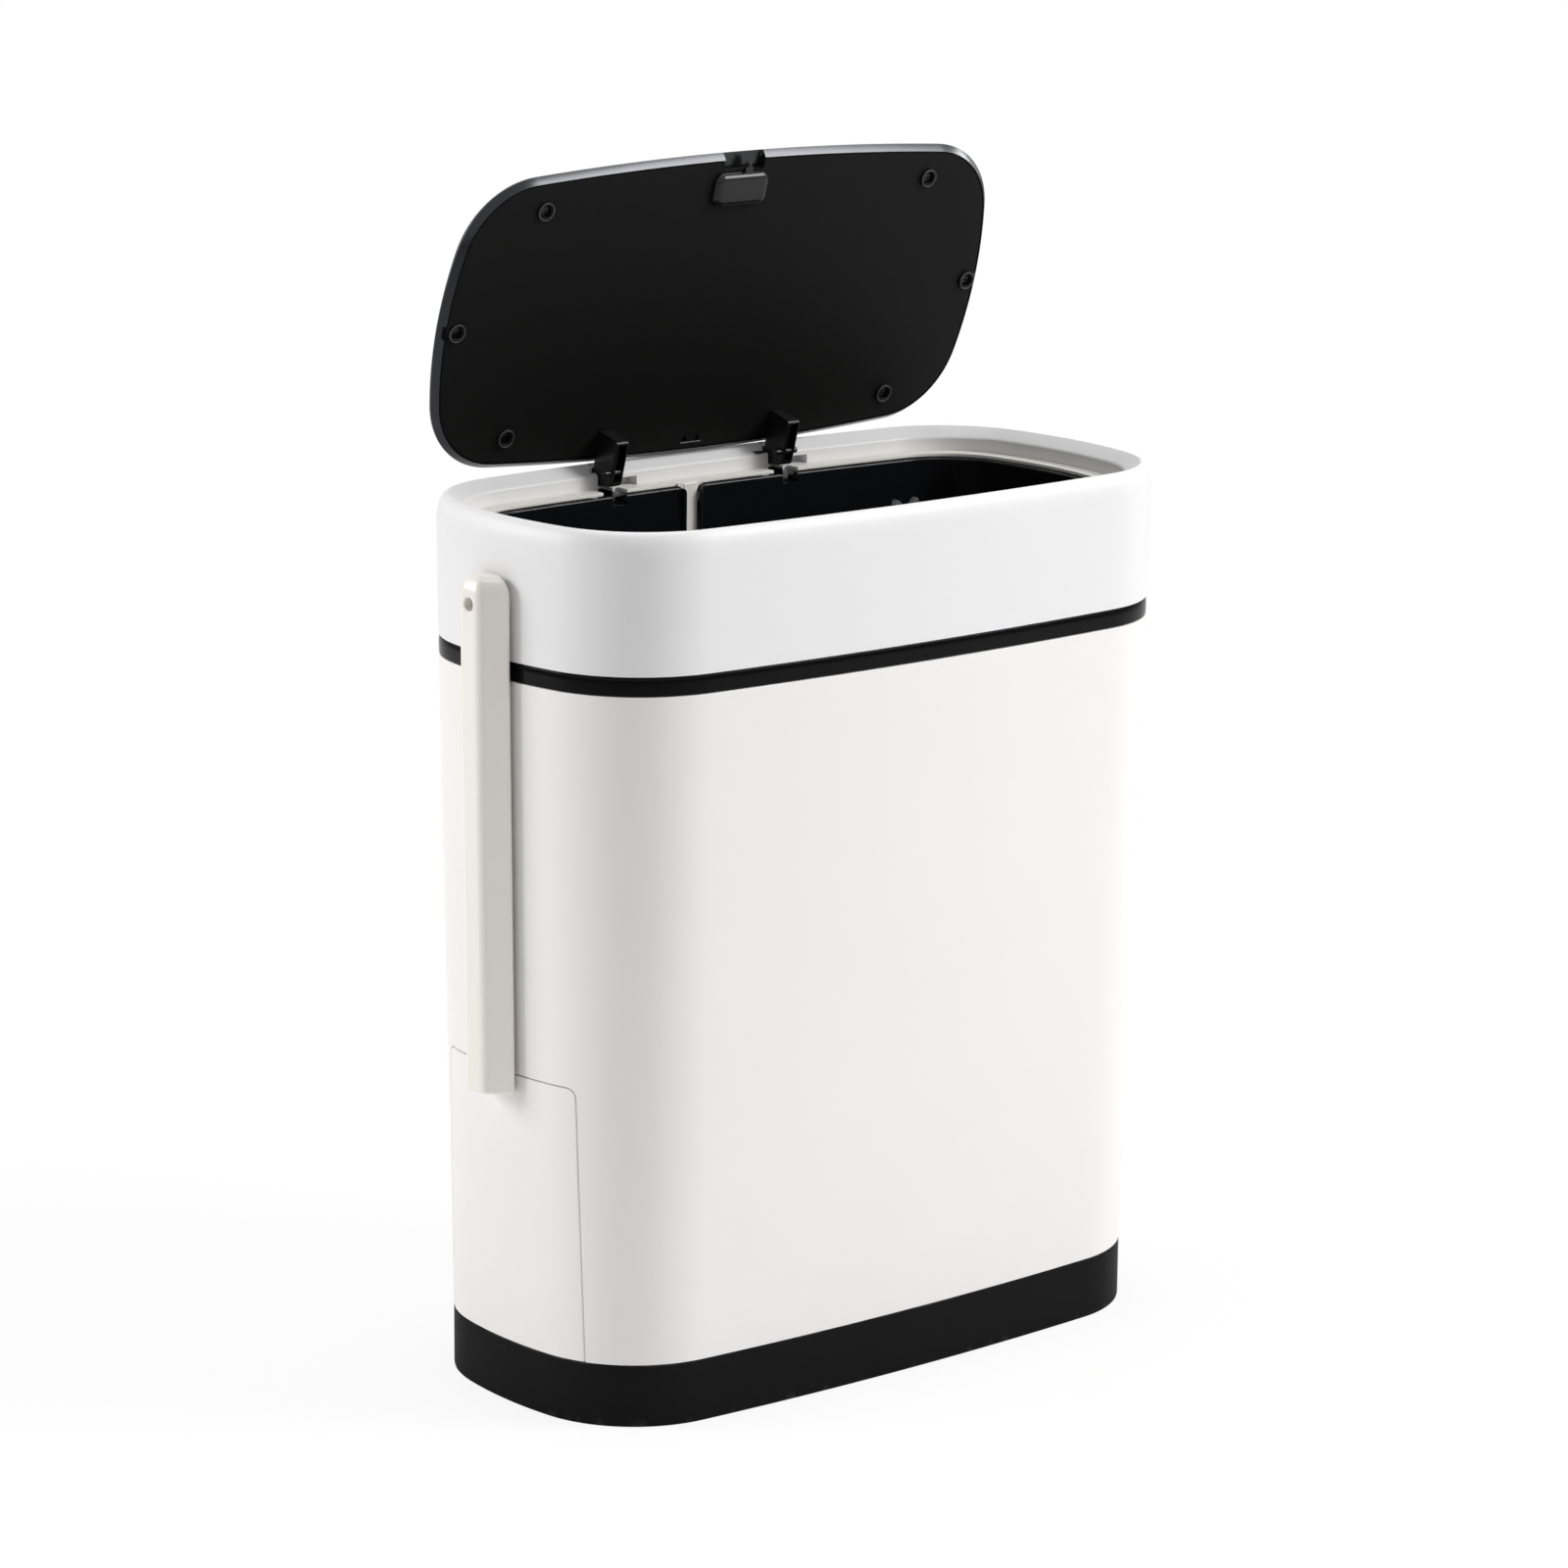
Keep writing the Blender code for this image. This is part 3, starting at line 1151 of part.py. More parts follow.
def make_head(axis):
    """Brush head: a core with a neck in the bracket's collar, and a sleeve that carries the tufts."""
    origin = tuple(axis.location)
    centre = (HEAD_AXIS_X, 0)
    shoulder = HEAD_TOP - HEAD_SHOULDER
    core_bottom = HEAD_BOTTOM + SLEEVE_FLOOR + SEAT_GAP
    dome = HEAD_DOME - SLEEVE_FLOOR
    profile = [
        (HEAD_CORE_RADIUS - dome, core_bottom),
        (HEAD_CORE_RADIUS, core_bottom + dome),
        (HEAD_CORE_RADIUS, shoulder),
        (HEAD_RADIUS, shoulder),
        (HEAD_RADIUS, HEAD_TOP),
        (NECK_RADIUS, HEAD_TOP),
        (NECK_RADIUS, HEAD_TOP + NECK_HEIGHT),
    ]
    look = material("head_white", (0.78, 0.78, 0.76), 0.4)
    loft("brush_head_core", turned(profile, centre, steps=TUFT_COLUMNS), look, False, origin, axis)
    make_tufts(axis, centre, shoulder - SEAT_GAP, core_bottom, dome)


def make_tufts(axis, centre, top, core_bottom, dome):
    """Sleeve round the core with one four-sided tuft grown from each of its outer faces."""
    origin = tuple(axis.location)
    bore = HEAD_CORE_RADIUS + SEAT_GAP
    knee = HEAD_BOTTOM + HEAD_DOME
    profile = [(bore - dome, HEAD_BOTTOM + SLEEVE_FLOOR), (bore, core_bottom + dome - SEAT_GAP), (bore, top)]
    profile += [(HEAD_RADIUS, blend(top, knee, i / TUFT_ROWS)) for i in range(TUFT_ROWS + 1)]
    for i in (1, 2):
        turn = math.pi / 2 * i / 3
        radius = HEAD_RADIUS - HEAD_DOME * (1 - math.cos(turn))
        profile.append((radius, knee - HEAD_DOME * math.sin(turn)))
    profile.append((HEAD_RADIUS - HEAD_DOME, HEAD_BOTTOM))
    bm, bands = skin(turned(profile, centre, steps=TUFT_COLUMNS))
    bmesh.ops.recalc_face_normals(bm, faces=bm.faces)
    full = BRISTLE_RADIUS - HEAD_RADIUS
    rows = [(band, full) for band in bands[3:3 + TUFT_ROWS]]
    rows += [(band, full * share) for band, share in zip(bands[3 + TUFT_ROWS:], DOME_TUFT_SHARES)]
    lengths = {face: length for band, length in rows for face in band}
    bmesh.ops.inset_individual(bm, faces=list(lengths), thickness=TUFT_MARGIN, use_even_offset=True)
    for face, length in lengths.items():
        tip = bmesh.ops.extrude_discrete_faces(bm, faces=[face])["faces"][0]
        middle = tip.calc_center_median()
        reach = tip.normal * length
        for vertex in tip.verts:
            vertex.co = middle + (vertex.co - middle) * TUFT_TIP_SHARE + reach
    look = material("bristle_white", (0.85, 0.85, 0.83), 0.6)
    add_object("brush_bristles", finish_mesh(bm, "brush_bristles", origin), look, origin, axis)


def make_brush():
    """Everything that pulls out of the bay at the -X end."""
    middle = (HANDLE_BOTTOM + HANDLE_TOP) / 2
    axis = axis_empty("brush_axis", (-half_size_at(middle)[0], 0, middle))
    handle = make_handle(axis)
    panel = make_panel(axis)
    bracket, face = make_bracket(axis)
    fasten_panel(handle, panel, bracket, face, axis)
    make_head(axis)


make_base()
make_shell()
make_band()
make_well()
make_ring()
make_bin_frame()
make_bins()
make_pins()
make_latch()
LID_AXIS = axis_empty("lid_axis", LID_PIVOT, (-LID_OPEN_TURN, 0, 0))
make_lid(LID_AXIS)
make_striker(LID_AXIS)
make_arms(LID_AXIS)
make_brush()
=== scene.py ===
# %% [markdown]
# # A slim bathroom bin with a toilet brush
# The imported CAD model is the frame: every piece below takes its place and its motion from it.
# The frame keeps the sizes honest, so this script only adds finer shapes and finishes.

# %% Load the frame
import math
import random

import bmesh
import bpy
from mathutils import Matrix, Vector


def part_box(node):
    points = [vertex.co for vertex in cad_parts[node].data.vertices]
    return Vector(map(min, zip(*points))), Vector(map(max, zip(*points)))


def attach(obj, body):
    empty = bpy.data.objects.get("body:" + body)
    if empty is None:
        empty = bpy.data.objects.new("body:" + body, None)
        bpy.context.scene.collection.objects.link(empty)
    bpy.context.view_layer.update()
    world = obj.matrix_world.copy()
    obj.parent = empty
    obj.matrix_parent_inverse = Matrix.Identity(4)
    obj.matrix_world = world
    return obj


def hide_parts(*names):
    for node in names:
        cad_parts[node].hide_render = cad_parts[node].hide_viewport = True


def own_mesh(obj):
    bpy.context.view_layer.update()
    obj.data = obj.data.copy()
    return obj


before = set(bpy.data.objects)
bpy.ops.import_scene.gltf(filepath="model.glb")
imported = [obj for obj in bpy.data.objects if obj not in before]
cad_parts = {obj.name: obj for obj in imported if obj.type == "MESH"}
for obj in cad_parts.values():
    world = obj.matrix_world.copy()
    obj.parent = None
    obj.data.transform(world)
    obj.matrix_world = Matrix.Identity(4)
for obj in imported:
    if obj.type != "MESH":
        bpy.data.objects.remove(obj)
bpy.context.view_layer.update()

# %% [markdown]
# ## Camera
# The viewpoint was worked out from the outlines of the foot, the band, the rim and the open lid, which
# all follow from the same few sizes. The camera is nearly level, so the upright edges stay almost parallel,
# and a long lens keeps the object's proportions as a shop photograph shows them.

# %% Camera
EYE = Vector((-1.51678, -1.82020, 0.80804))
VIEW_TURN = math.radians(-39.64)
VIEW_DROP = math.radians(13.09)
VIEW_ROLL = math.radians(0.54)
FOCAL_PIXELS = 5464.08
PICTURE_PIXELS = 1600
CENTRE_OFFSET_PIXELS = Vector((-0.897, 1.859))
SENSOR = 36.0

camera_data = bpy.data.cameras.new("photo_camera")
camera_data.sensor_fit = "HORIZONTAL"
camera_data.sensor_width = SENSOR
camera_data.lens = FOCAL_PIXELS / PICTURE_PIXELS * SENSOR
camera_data.shift_x = -CENTRE_OFFSET_PIXELS.x / PICTURE_PIXELS
camera_data.shift_y = CENTRE_OFFSET_PIXELS.y / PICTURE_PIXELS
camera_data.clip_start = 0.1
camera_data.clip_end = 50.0
camera = bpy.data.objects.new("photo_camera", camera_data)
camera.location = EYE
camera.rotation_euler = (
    Matrix.Rotation(VIEW_TURN, 3, "Z")
    @ Matrix.Rotation(math.pi / 2 - VIEW_DROP, 3, "X")
    @ Matrix.Rotation(VIEW_ROLL, 3, "Z")
).to_euler()
bpy.context.scene.collection.objects.link(camera)
bpy.context.scene.camera = camera
print("lens in mm:", round(camera_data.lens, 2))

# %% [markdown]
# ## Shader maths in plain Python
# A moulded surface is never one flat value: its grain, its cloudiness and its polish all vary a little.
# Such patterns are sums of noises. They could be wired by hand, one Math node after another, but a small
# class that wraps a socket lets Python write the sums, and each sum adds its own node.

# %% Wires and finishes
class Wire:
    """An output of a shader tree that can be used in sums."""

    def __init__(self, finish, socket):
        self.finish = finish
        self.socket = socket

    def sum(self, operation, *values):
        return self.finish.node("ShaderNodeMath", {"operation": operation}, list(values))

    def __add__(self, other):
        return self.sum("ADD", self, other)

    def __sub__(self, other):
        return self.sum("SUBTRACT", self, other)

    def __rsub__(self, other):
        return self.sum("SUBTRACT", other, self)

    def __mul__(self, other):
        return self.sum("MULTIPLY", self, other)

    __radd__ = __add__
    __rmul__ = __mul__


class Finish:
    """A material with the nodes that it is built from."""

    def __init__(self, name):
        self.material = bpy.data.materials.new(name)
        self.material.use_nodes = True
        self.tree = self.material.node_tree
        self.shader = self.tree.nodes["Principled BSDF"]

    def node(self, kind, settings=None, values=(), out=0):
        """Add a node: its settings come first, then the values or links of its sockets."""
        made = self.tree.nodes.new(kind)
        for name, setting in (settings or {}).items():
            setattr(made, name, setting)
        pairs = values.items() if isinstance(values, dict) else enumerate(values)
        for key, value in pairs:
            self.feed(made.inputs[key], value)
        return Wire(self, made.outputs[out])

    def feed(self, socket, value):
        if isinstance(value, Wire):
            self.tree.links.new(value.socket, socket)
        else:
            socket.default_value = value

    def set(self, **values):
        """Set or link sockets of the shader, with _ for each space in a name."""
        for name, value in values.items():
            self.feed(self.shader.inputs[name.replace("_", " ")], value)

    def place(self):
        return self.node("ShaderNodeTexCoord", out="Object")

    def noise(self, scale, detail=2.0, stretch=None, roughness=0.5):
        """Noise from 0 to 1 with features of about 1 / scale metres, stretched along an axis if asked for."""
        where = self.place()
        if stretch:
            where = self.node("ShaderNodeVectorMath", {"operation": "MULTIPLY"}, [where, stretch])
        values = {"Vector": where, "Scale": scale, "Detail": detail, "Roughness": roughness}
        return self.node("ShaderNodeTexNoise", {}, values)

    def step(self, value, low, high):
        """A soft step from 0 at low to 1 at high."""
        values = {"Value": value, "From Min": low, "From Max": high}
        return self.node("ShaderNodeMapRange", {"interpolation_type": "SMOOTHSTEP"}, values)

    def blend(self, mask, low, high):
        """A colour between two colours, by a mask."""
        values = {0: mask, 6: low, 7: high}
        return self.node("ShaderNodeMix", {"data_type": "RGBA"}, values, 2)

    def height(self):
        """Height above the floor at rest."""
        return self.node("ShaderNodeSeparateXYZ", {}, [self.place()], 2)

    def bump(self, pattern, distance):
        values = {"Height": pattern, "Distance": distance, "Strength": 1.0}
        self.set(Normal=self.node("ShaderNodeBump", {}, values))


def shade(colour, factor=1.0):
    """An opaque colour from three numbers, times a factor."""
    return (*(min(1.0, channel * factor) for channel in colour), 1.0)


print("shader helpers are ready")

# %% [markdown]
# ## Light, floor and background
# The photograph is a cut-out on white. The surroundings look pure white to the camera and in reflections,
# while the light that falls on the object stays at a plain level. Light Path makes the difference.
# Two large soft lamps, one at each side of the camera, leave the corner between the two faces a little
# darker than both, as in the photograph. A white card at the right shows only in the lid's gloss: it draws
# the bright line along the rim of the lid and adds no light elsewhere.

# %% World
studio = bpy.data.worlds.new("soft_studio")
bpy.context.scene.world = studio
bpy.context.scene.view_settings.view_transform = "Standard"
studio.use_nodes = True
AMBIENT = 0.30
tree = studio.node_tree
background = tree.nodes["Background"]
path = tree.nodes.new("ShaderNodeLightPath")
seen = path.outputs["Is Camera Ray"]
for ray_kind in ("Is Glossy Ray", "Is Transmission Ray"):
    either = tree.nodes.new("ShaderNodeMath")
    either.operation = "MAXIMUM"
    tree.links.new(seen, either.inputs[0])
    tree.links.new(path.outputs[ray_kind], either.inputs[1])
    seen = either.outputs[0]
level = tree.nodes.new("ShaderNodeMapRange")
level.inputs["To Min"].default_value = AMBIENT
level.inputs["To Max"].default_value = 1.0
tree.links.new(seen, level.inputs["Value"])
tree.links.new(level.outputs[0], background.inputs["Strength"])
background.inputs["Color"].default_value = (1, 1, 1, 1)
print("world light:", AMBIENT)

# %% Lamps
AIM = Vector((0, 0, 0.27))
LAMPS = {
    "key_softbox": ((1.68, -1.61, 1.96), (1.08, 1.08), 60.5),
    "end_softbox": ((-1.90, 1.50, 1.20), (1.2, 1.2), 36.0),
    "top_softbox": ((0.10, 0.20, 2.60), (1.5, 1.5), 19.0),
    "rim_card": ((2.20, -0.75, 0.95), (1.7, 0.9), 55.0),
}
holders = {}
for name, (where, size, power) in LAMPS.items():
    lamp = bpy.data.lights.new(name, "AREA")
    lamp.shape = "RECTANGLE"
    lamp.size, lamp.size_y = size
    lamp.energy = power
    holder = bpy.data.objects.new(name, lamp)
    holder.location = where
    holder.rotation_euler = (AIM - Vector(where)).to_track_quat("-Z", "Y").to_euler()
    bpy.context.scene.collection.objects.link(holder)
    holders[name] = holder
print("lamps:", sorted(holders))

# %% Card for the lid's rim
card = holders["rim_card"]
card.visible_diffuse = False
card_sees = bpy.data.collections.new("card_sees")
card.light_linking.receiver_collection = card_sees
print("card shows in gloss alone:", not card.visible_diffuse)

# %% Floor
FLOOR_HALF = 40.0
FLOOR_LIFT = 0.86
SHADOW_REACH = (0.45, 1.10)
mesh = bpy.data.meshes.new("floor")
corners = [(x * FLOOR_HALF, y * FLOOR_HALF, 0) for x, y in ((-1, -1), (1, -1), (1, 1), (-1, 1))]
mesh.from_pydata(corners, [], [(0, 1, 2, 3)])
floor = bpy.data.objects.new("floor", mesh)
bpy.context.scene.collection.objects.link(floor)
paint = Finish("floor_paint")
paint.set(Base_Color=(0.92, 0.92, 0.92, 1), Roughness=1.0, Specular_IOR_Level=0.0)
glow = paint.node("ShaderNodeEmission", {}, {"Color": (1, 1, 1, 1), "Strength": 1.0})
ray = paint.node("ShaderNodeLightPath", out="Is Camera Ray")
distance = paint.node("ShaderNodeVectorMath", {"operation": "LENGTH"}, [paint.place()], "Value")
lift = paint.step(distance, *SHADOW_REACH) * (1 - FLOOR_LIFT) + FLOOR_LIFT
mixed = paint.node("ShaderNodeMixShader", {}, [ray * lift, Wire(paint, paint.shader.outputs[0]), glow])
paint.tree.links.new(mixed.socket, paint.tree.nodes["Material Output"].inputs["Surface"])
mesh.materials.append(paint.material)
print("floor laid")

# %% [markdown]
# ## The outline that every wall follows
# The body is a slim rounded box: bowed sides, more strongly bowed ends and a corner arc between them, a
# little wider at the rim than at the foot. The base, shell, band, ring, bins and lid all follow it, set in
# by some amount. One function that gives the outline at any height and inset keeps them parallel.

# %% Body outline
BODY_HEIGHT = 0.4000
BAND_TOP = 0.3376
BASE_HEIGHT = 0.0284
FOOT_HALF = (0.1671, 0.0808)
BAND_HALF = (0.1708, 0.0864)
RIM_HALF = (0.1708, 0.0880)
SIDE_BOW = 1.550
END_BOW = 0.203
CORNER = 0.0550
END_STEPS = 10
CORNER_STEPS = 20
SIDE_STEPS = 14
SEAT = 0.0003


def between(a, b, share):
    """Value at a share of the way from a to b."""
    return a + (b - a) * share


def half_sizes(z):
    """Half length and half depth of the body at height z."""
    if z <= BAND_TOP:
        share = max(0.0, (z - BASE_HEIGHT) / (BAND_TOP - BASE_HEIGHT))
        return [between(a, b, share) for a, b in zip(FOOT_HALF, BAND_HALF)]
    share = (z - BAND_TOP) / (BODY_HEIGHT - BAND_TOP)
    return [between(a, b, share) for a, b in zip(BAND_HALF, RIM_HALF)]


def arc(centre, radius, start, end, steps, last=False):
    """Points on an arc, with the last one only if asked for."""
    turns = [between(start, end, i / steps) for i in range(steps + 1 if last else steps)]
    return [(centre[0] + radius * math.cos(t), centre[1] + radius * math.sin(t)) for t in turns]


def quarter_turns(steps, first=0):
    """Turns from 0 to a quarter of a circle."""
    return [math.pi / 2 * k / steps for k in range(first, steps + 1)]


def body_arcs(z):
    """Centres of the side, end and corner arcs in the +X, +Y quarter, and the turns where they meet."""
    half_length, half_depth = half_sizes(z)
    side = Vector((0, half_depth - SIDE_BOW))
    end = Vector((half_length - END_BOW, 0))
    span = end - side
    side_reach = SIDE_BOW - CORNER
    end_reach = END_BOW - CORNER
    along = (side_reach ** 2 - end_reach ** 2 + span.length_squared) / (2 * span.length)
    across = math.sqrt(side_reach ** 2 - along ** 2)
    way = span.normalized()
    corner = side + way * along + Vector((way.y, -way.x)) * across
    end_turn = math.atan2(corner.y - end.y, corner.x - end.x)
    side_turn = math.atan2(corner.y - side.y, corner.x - side.x)
    return side, end, corner, end_turn, side_turn


def outline(z, inset=0.0):
    """Outline of the body at height z, set in by an inset, anticlockwise from the middle of the +X end."""
    side, end, corner, end_turn, side_turn = body_arcs(z)
    quarter = arc(end, END_BOW - inset, 0, end_turn, END_STEPS)
    quarter += arc(corner, CORNER - inset, end_turn, side_turn, CORNER_STEPS)
    quarter += arc(side, SIDE_BOW - inset, side_turn, math.pi / 2, SIDE_STEPS, last=True)
    half = quarter + [(-x, y) for x, y in reversed(quarter[:-1])]
    return half + [(x, -y) for x, y in reversed(half[1:-1])]


print("points in one outline:", len(outline(0)))

# %% [markdown]
# ## Meshes from rings of points
# A moulded part could be a box with many modifiers, but its section is what gives it its character. So a
# section is written as a few corners, each corner is rounded, and the section is swept round the outline.
# Openings are then cut with a boolean, and the result is shaded smooth with its true edges kept.

# %% Section helpers
def soften(section, radius, closed=True, steps=3):
    """Round the corners of a section; a corner may bring its own radius as a third number."""
    made = []
    count = len(section)
    for i, point in enumerate(section):
        corner = Vector(point[:2])
        own = point[2] if len(point) > 2 else radius
        before = Vector(section[i - 1][:2]) - corner
        after = Vector(section[(i + 1) % count][:2]) - corner
        at_end = not closed and i in (0, count - 1)
        if not own or at_end or before.angle(after) > math.radians(155):
            made.append(tuple(corner))
            continue
        reach = min(own, before.length * 0.45, after.length * 0.45)
        start = corner + before.normalized() * reach
        stop = corner + after.normalized() * reach
        for k in range(steps + 1):
            t = k / steps
            made.append(tuple(start * (1 - t) ** 2 + corner * 2 * t * (1 - t) + stop * t * t))
    return made


def upright(section, longest=0.03, closed=True):
    """Split the long edges of a section, so that no face of the sweep gets too long."""
    made = []
    count = len(section)
    for i, point in enumerate(section):
        made.append(point)
        if not closed and i == count - 1:
            break
        after = section[(i + 1) % count]
        parts = math.ceil(math.dist(point, after) / longest)
        made += [tuple(between(a, b, k / parts) for a, b in zip(point, after)) for k in range(1, parts)]
    return made


def settle_normals(mesh):
    """Turn all faces outwards."""
    bm = bmesh.new()
    bm.from_mesh(mesh)
    bmesh.ops.recalc_face_normals(bm, faces=bm.faces)
    bm.to_mesh(mesh)
    bm.free()


def solid(name, rings, closed=True):
    """Mesh object through rings of points: the last ring joins the first, or both ends are filled."""
    points = [point for ring in rings for point in ring]
    count = len(rings[0])
    faces = []
    for low in range(len(rings) if closed else len(rings) - 1):
        high = (low + 1) % len(rings)
        for i in range(count):
            j = (i + 1) % count
            faces.append((low * count + i, low * count + j, high * count + j, high * count + i))
    if not closed:
        faces.append(tuple(range(count)))
        faces.append(tuple(range(len(points) - count, len(points))))
    mesh = bpy.data.meshes.new(name)
    mesh.from_pydata(points, [], faces)
    settle_normals(mesh)
    made = bpy.data.objects.new(name, mesh)
    bpy.context.scene.collection.objects.link(made)
    return made


def swept(name, section, closed=True):
    """Section of (inset, height) points swept round the body's outline."""
    return solid(name, [[(x, y, z) for x, y in outline(z, inset)] for inset, z in section], closed)


def bake(piece):
    """Turn the modifiers of a piece into its mesh."""
    bpy.context.view_layer.update()
    evaluated = piece.evaluated_get(bpy.context.evaluated_depsgraph_get())
    mesh = bpy.data.meshes.new_from_object(evaluated)
    piece.modifiers.clear()
    piece.data = mesh


def cut(piece, *tools, operation="DIFFERENCE"):
    """Cut tools away from a piece, or join or intersect them with it; the tools are used up."""
    for tool in tools:
        step = piece.modifiers.new(tool.name, "BOOLEAN")
        step.operation = operation
        step.solver = "EXACT"
        step.object = tool
    bake(piece)
    for tool in tools:
        bpy.data.objects.remove(tool, do_unlink=True)
    return piece


def bevelled(piece, width, steps=2, limit=40):
    """Round the sharp edges of a small piece."""
    step = piece.modifiers.new("edges", "BEVEL")
    step.width = width
    step.segments = steps
    step.limit_method = "ANGLE"
    step.angle_limit = math.radians(limit)
    bake(piece)
    return piece


# %% Simple shapes
def block(name, low, high, edge=0.0):
    """Box between two corners, with rounded edges if asked for."""
    ring = [(low[0], low[1]), (high[0], low[1]), (high[0], high[1]), (low[0], high[1])]
    made = solid(name, [[(x, y, z) for x, y in ring] for z in (low[2], high[2])], closed=False)
    return bevelled(made, edge, 3) if edge else made


def along(axis, place, across):
    """A point from its place along an axis and its two places across it."""
    point = list(across)
    point.insert("xyz".index(axis), place)
    return tuple(point)


def turned(name, profile, centre, axis="z", steps=32):
    """Turned piece from (radius, place along the axis) pairs; centre is across the axis."""
    rings = []
    for radius, place in profile:
        rings.append([along(axis, place, p) for p in arc(centre, radius, 0, 2 * math.pi, steps)])
    return solid(name, rings, closed=False)


def straight_hole(radius, start, stop, centre, axis="x", steps=32):
    """Cutter for a round hole from one place to another along an axis."""
    return turned("straight_hole", [(radius, start), (radius, stop)], centre, axis, steps)


def rod(name, radius, span, edge, centre, steps=32):
    """Round rod along X with softened ends."""
    start, stop = span
    profile = [(radius - edge, start), (radius, start + edge), (radius, stop - edge), (radius - edge, stop)]
    return turned(name, profile, centre, "x", steps)


def prism(name, flat, axis, middle, thickness):
    """Flat outline given a thickness along an axis."""
    rings = [[along(axis, middle + side * thickness / 2, p) for p in flat] for side in (-1, 1)]
    return solid(name, rings, closed=False)


COIL_STEPS = 28


def coil_path(axis, span, centre, radius, turns):
    """Points of a wire wound about an axis from one place to another."""
    count = turns * COIL_STEPS
    path = []
    for i in range(count + 1):
        turn = 2 * math.pi * i / COIL_STEPS
        across = (centre[0] + radius * math.sin(turn), centre[1] - radius * math.cos(turn))
        path.append(along(axis, between(*span, i / count), across))
    return path


def pipe(name, path, radius):
    """Round wire along a path of points."""
    line = bpy.data.curves.new(name, "CURVE")
    line.dimensions = "3D"
    line.bevel_depth = radius
    line.bevel_resolution = 3
    line.use_fill_caps = True
    spline = line.splines.new("POLY")
    spline.points.add(len(path) - 1)
    for point, place in zip(spline.points, path):
        point.co = (*place, 1)
    made = bpy.data.objects.new(name, line)
    bpy.context.scene.collection.objects.link(made)
    bpy.context.view_layer.update()
    mesh = bpy.data.meshes.new_from_object(made.evaluated_get(bpy.context.evaluated_depsgraph_get()))
    bpy.data.objects.remove(made, do_unlink=True)
    made = bpy.data.objects.new(name, mesh)
    bpy.context.scene.collection.objects.link(made)
    return made


# %% Hand a piece to the frame
SMOOTH_LIMIT = math.radians(32)


def hand_over(piece, finish, slot, body, *nodes):
    """Shade a piece, give it its finish and its body, and hide the CAD nodes that it stands for."""
    bm = bmesh.new()
    bm.from_mesh(piece.data)
    for face in bm.faces:
        face.smooth = True
        face.material_index = 0
    for edge in bm.edges:
        edge.smooth = len(edge.link_faces) != 2 or edge.calc_face_angle(0.0) < SMOOTH_LIMIT
    bm.to_mesh(piece.data)
    bm.free()
    piece.data.materials.clear()
    piece.data.materials.append(finish.material)
    normals = piece.modifiers.new("weighted", "WEIGHTED_NORMAL")
    normals.keep_sharp = True
    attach(piece, body)
    if nodes:
        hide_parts(*nodes)
    size = [round(v * 1000, 1) for v in piece.dimensions]
    print(piece.name, "-", len(piece.data.polygons), "faces,", size, "mm")
    return piece


SIDES = ((-1, "left"), (1, "right"))

# %% [markdown]
# ## Finishes of moulded plastic
# Every part of this bin except its springs, pins and screws is injection moulded. The mould gives the
# plastic a fine grain, the flow of the plastic makes it a little cloudy, and handling polishes it unevenly.
# One function makes such a finish from a few numbers, so all pieces belong together and still differ.

# %% Moulded plastic
def moulded(name, colour, roughness, specular, grain, depth, cloud, polish, dust=0.0):
    """Moulded plastic with grain, cloudiness, uneven polish and, where asked for, dust on what faces up."""
    finish = Finish(name)
    broad = finish.noise(14.0, 4.0)
    fine = finish.noise(1 / grain, 2.0)
    brushed = finish.noise(60.0, 3.0, (1.0, 1.0, 9.0))
    tone = finish.blend(broad + (fine - 0.5) * 0.35, shade(colour, 1 - cloud), shade(colour, 1 + cloud))
    if dust:
        up = finish.node("ShaderNodeSeparateXYZ", {}, [finish.node("ShaderNodeTexCoord", out="Normal")], 2)
        settled = finish.step(up, 0.5, 1.0) * finish.step(finish.noise(90.0, 4.0), 0.42, 0.7)
        tone = finish.blend(settled * dust, tone, (0.42, 0.41, 0.39, 1.0))
    finish.set(Base_Color=tone, Specular_IOR_Level=specular)
    finish.set(Roughness=(broad - 0.5) * polish + (brushed - 0.5) * polish + roughness)
    finish.bump(fine + broad * 0.5, depth)
    return finish


WHITE = (0.84, 0.825, 0.808)
RING = (0.795, 0.789, 0.792)
print("plastic finishes are ready")

# %% [markdown]
# ## Base
# The real base is one black moulding: a tray with a plain skirt that shows, and an upstand that the shell
# slips over. It is swept round the outline from its section. Its lower edge is a little scuffed, as the bin
# is pushed about on a tiled floor, so a mask near the floor makes it paler there.

# %% Base
BASE_FLOOR = 0.0030
UPSTAND_HEIGHT = 0.0080
UPSTAND_WALL = 0.0020
SHELL_WALL = 0.0025

base_finish = moulded("base_plastic", (0.0090, 0.0090, 0.0098), 0.50, 0.03, 0.0008, 0.00002, 0.08, 0.10, 0.25)
low_edge = 1 - base_finish.step(base_finish.height(), 0.0002, 0.0045)
scuffs = low_edge * base_finish.step(base_finish.noise(160.0, 3.0, (1.0, 1.0, 0.3)), 0.52, 0.66)
base_tone = Wire(base_finish, base_finish.shader.inputs["Base Color"].links[0].from_socket)
base_finish.set(Base_Color=base_finish.blend(scuffs * 0.22, base_tone, (0.09, 0.088, 0.085, 1.0)))

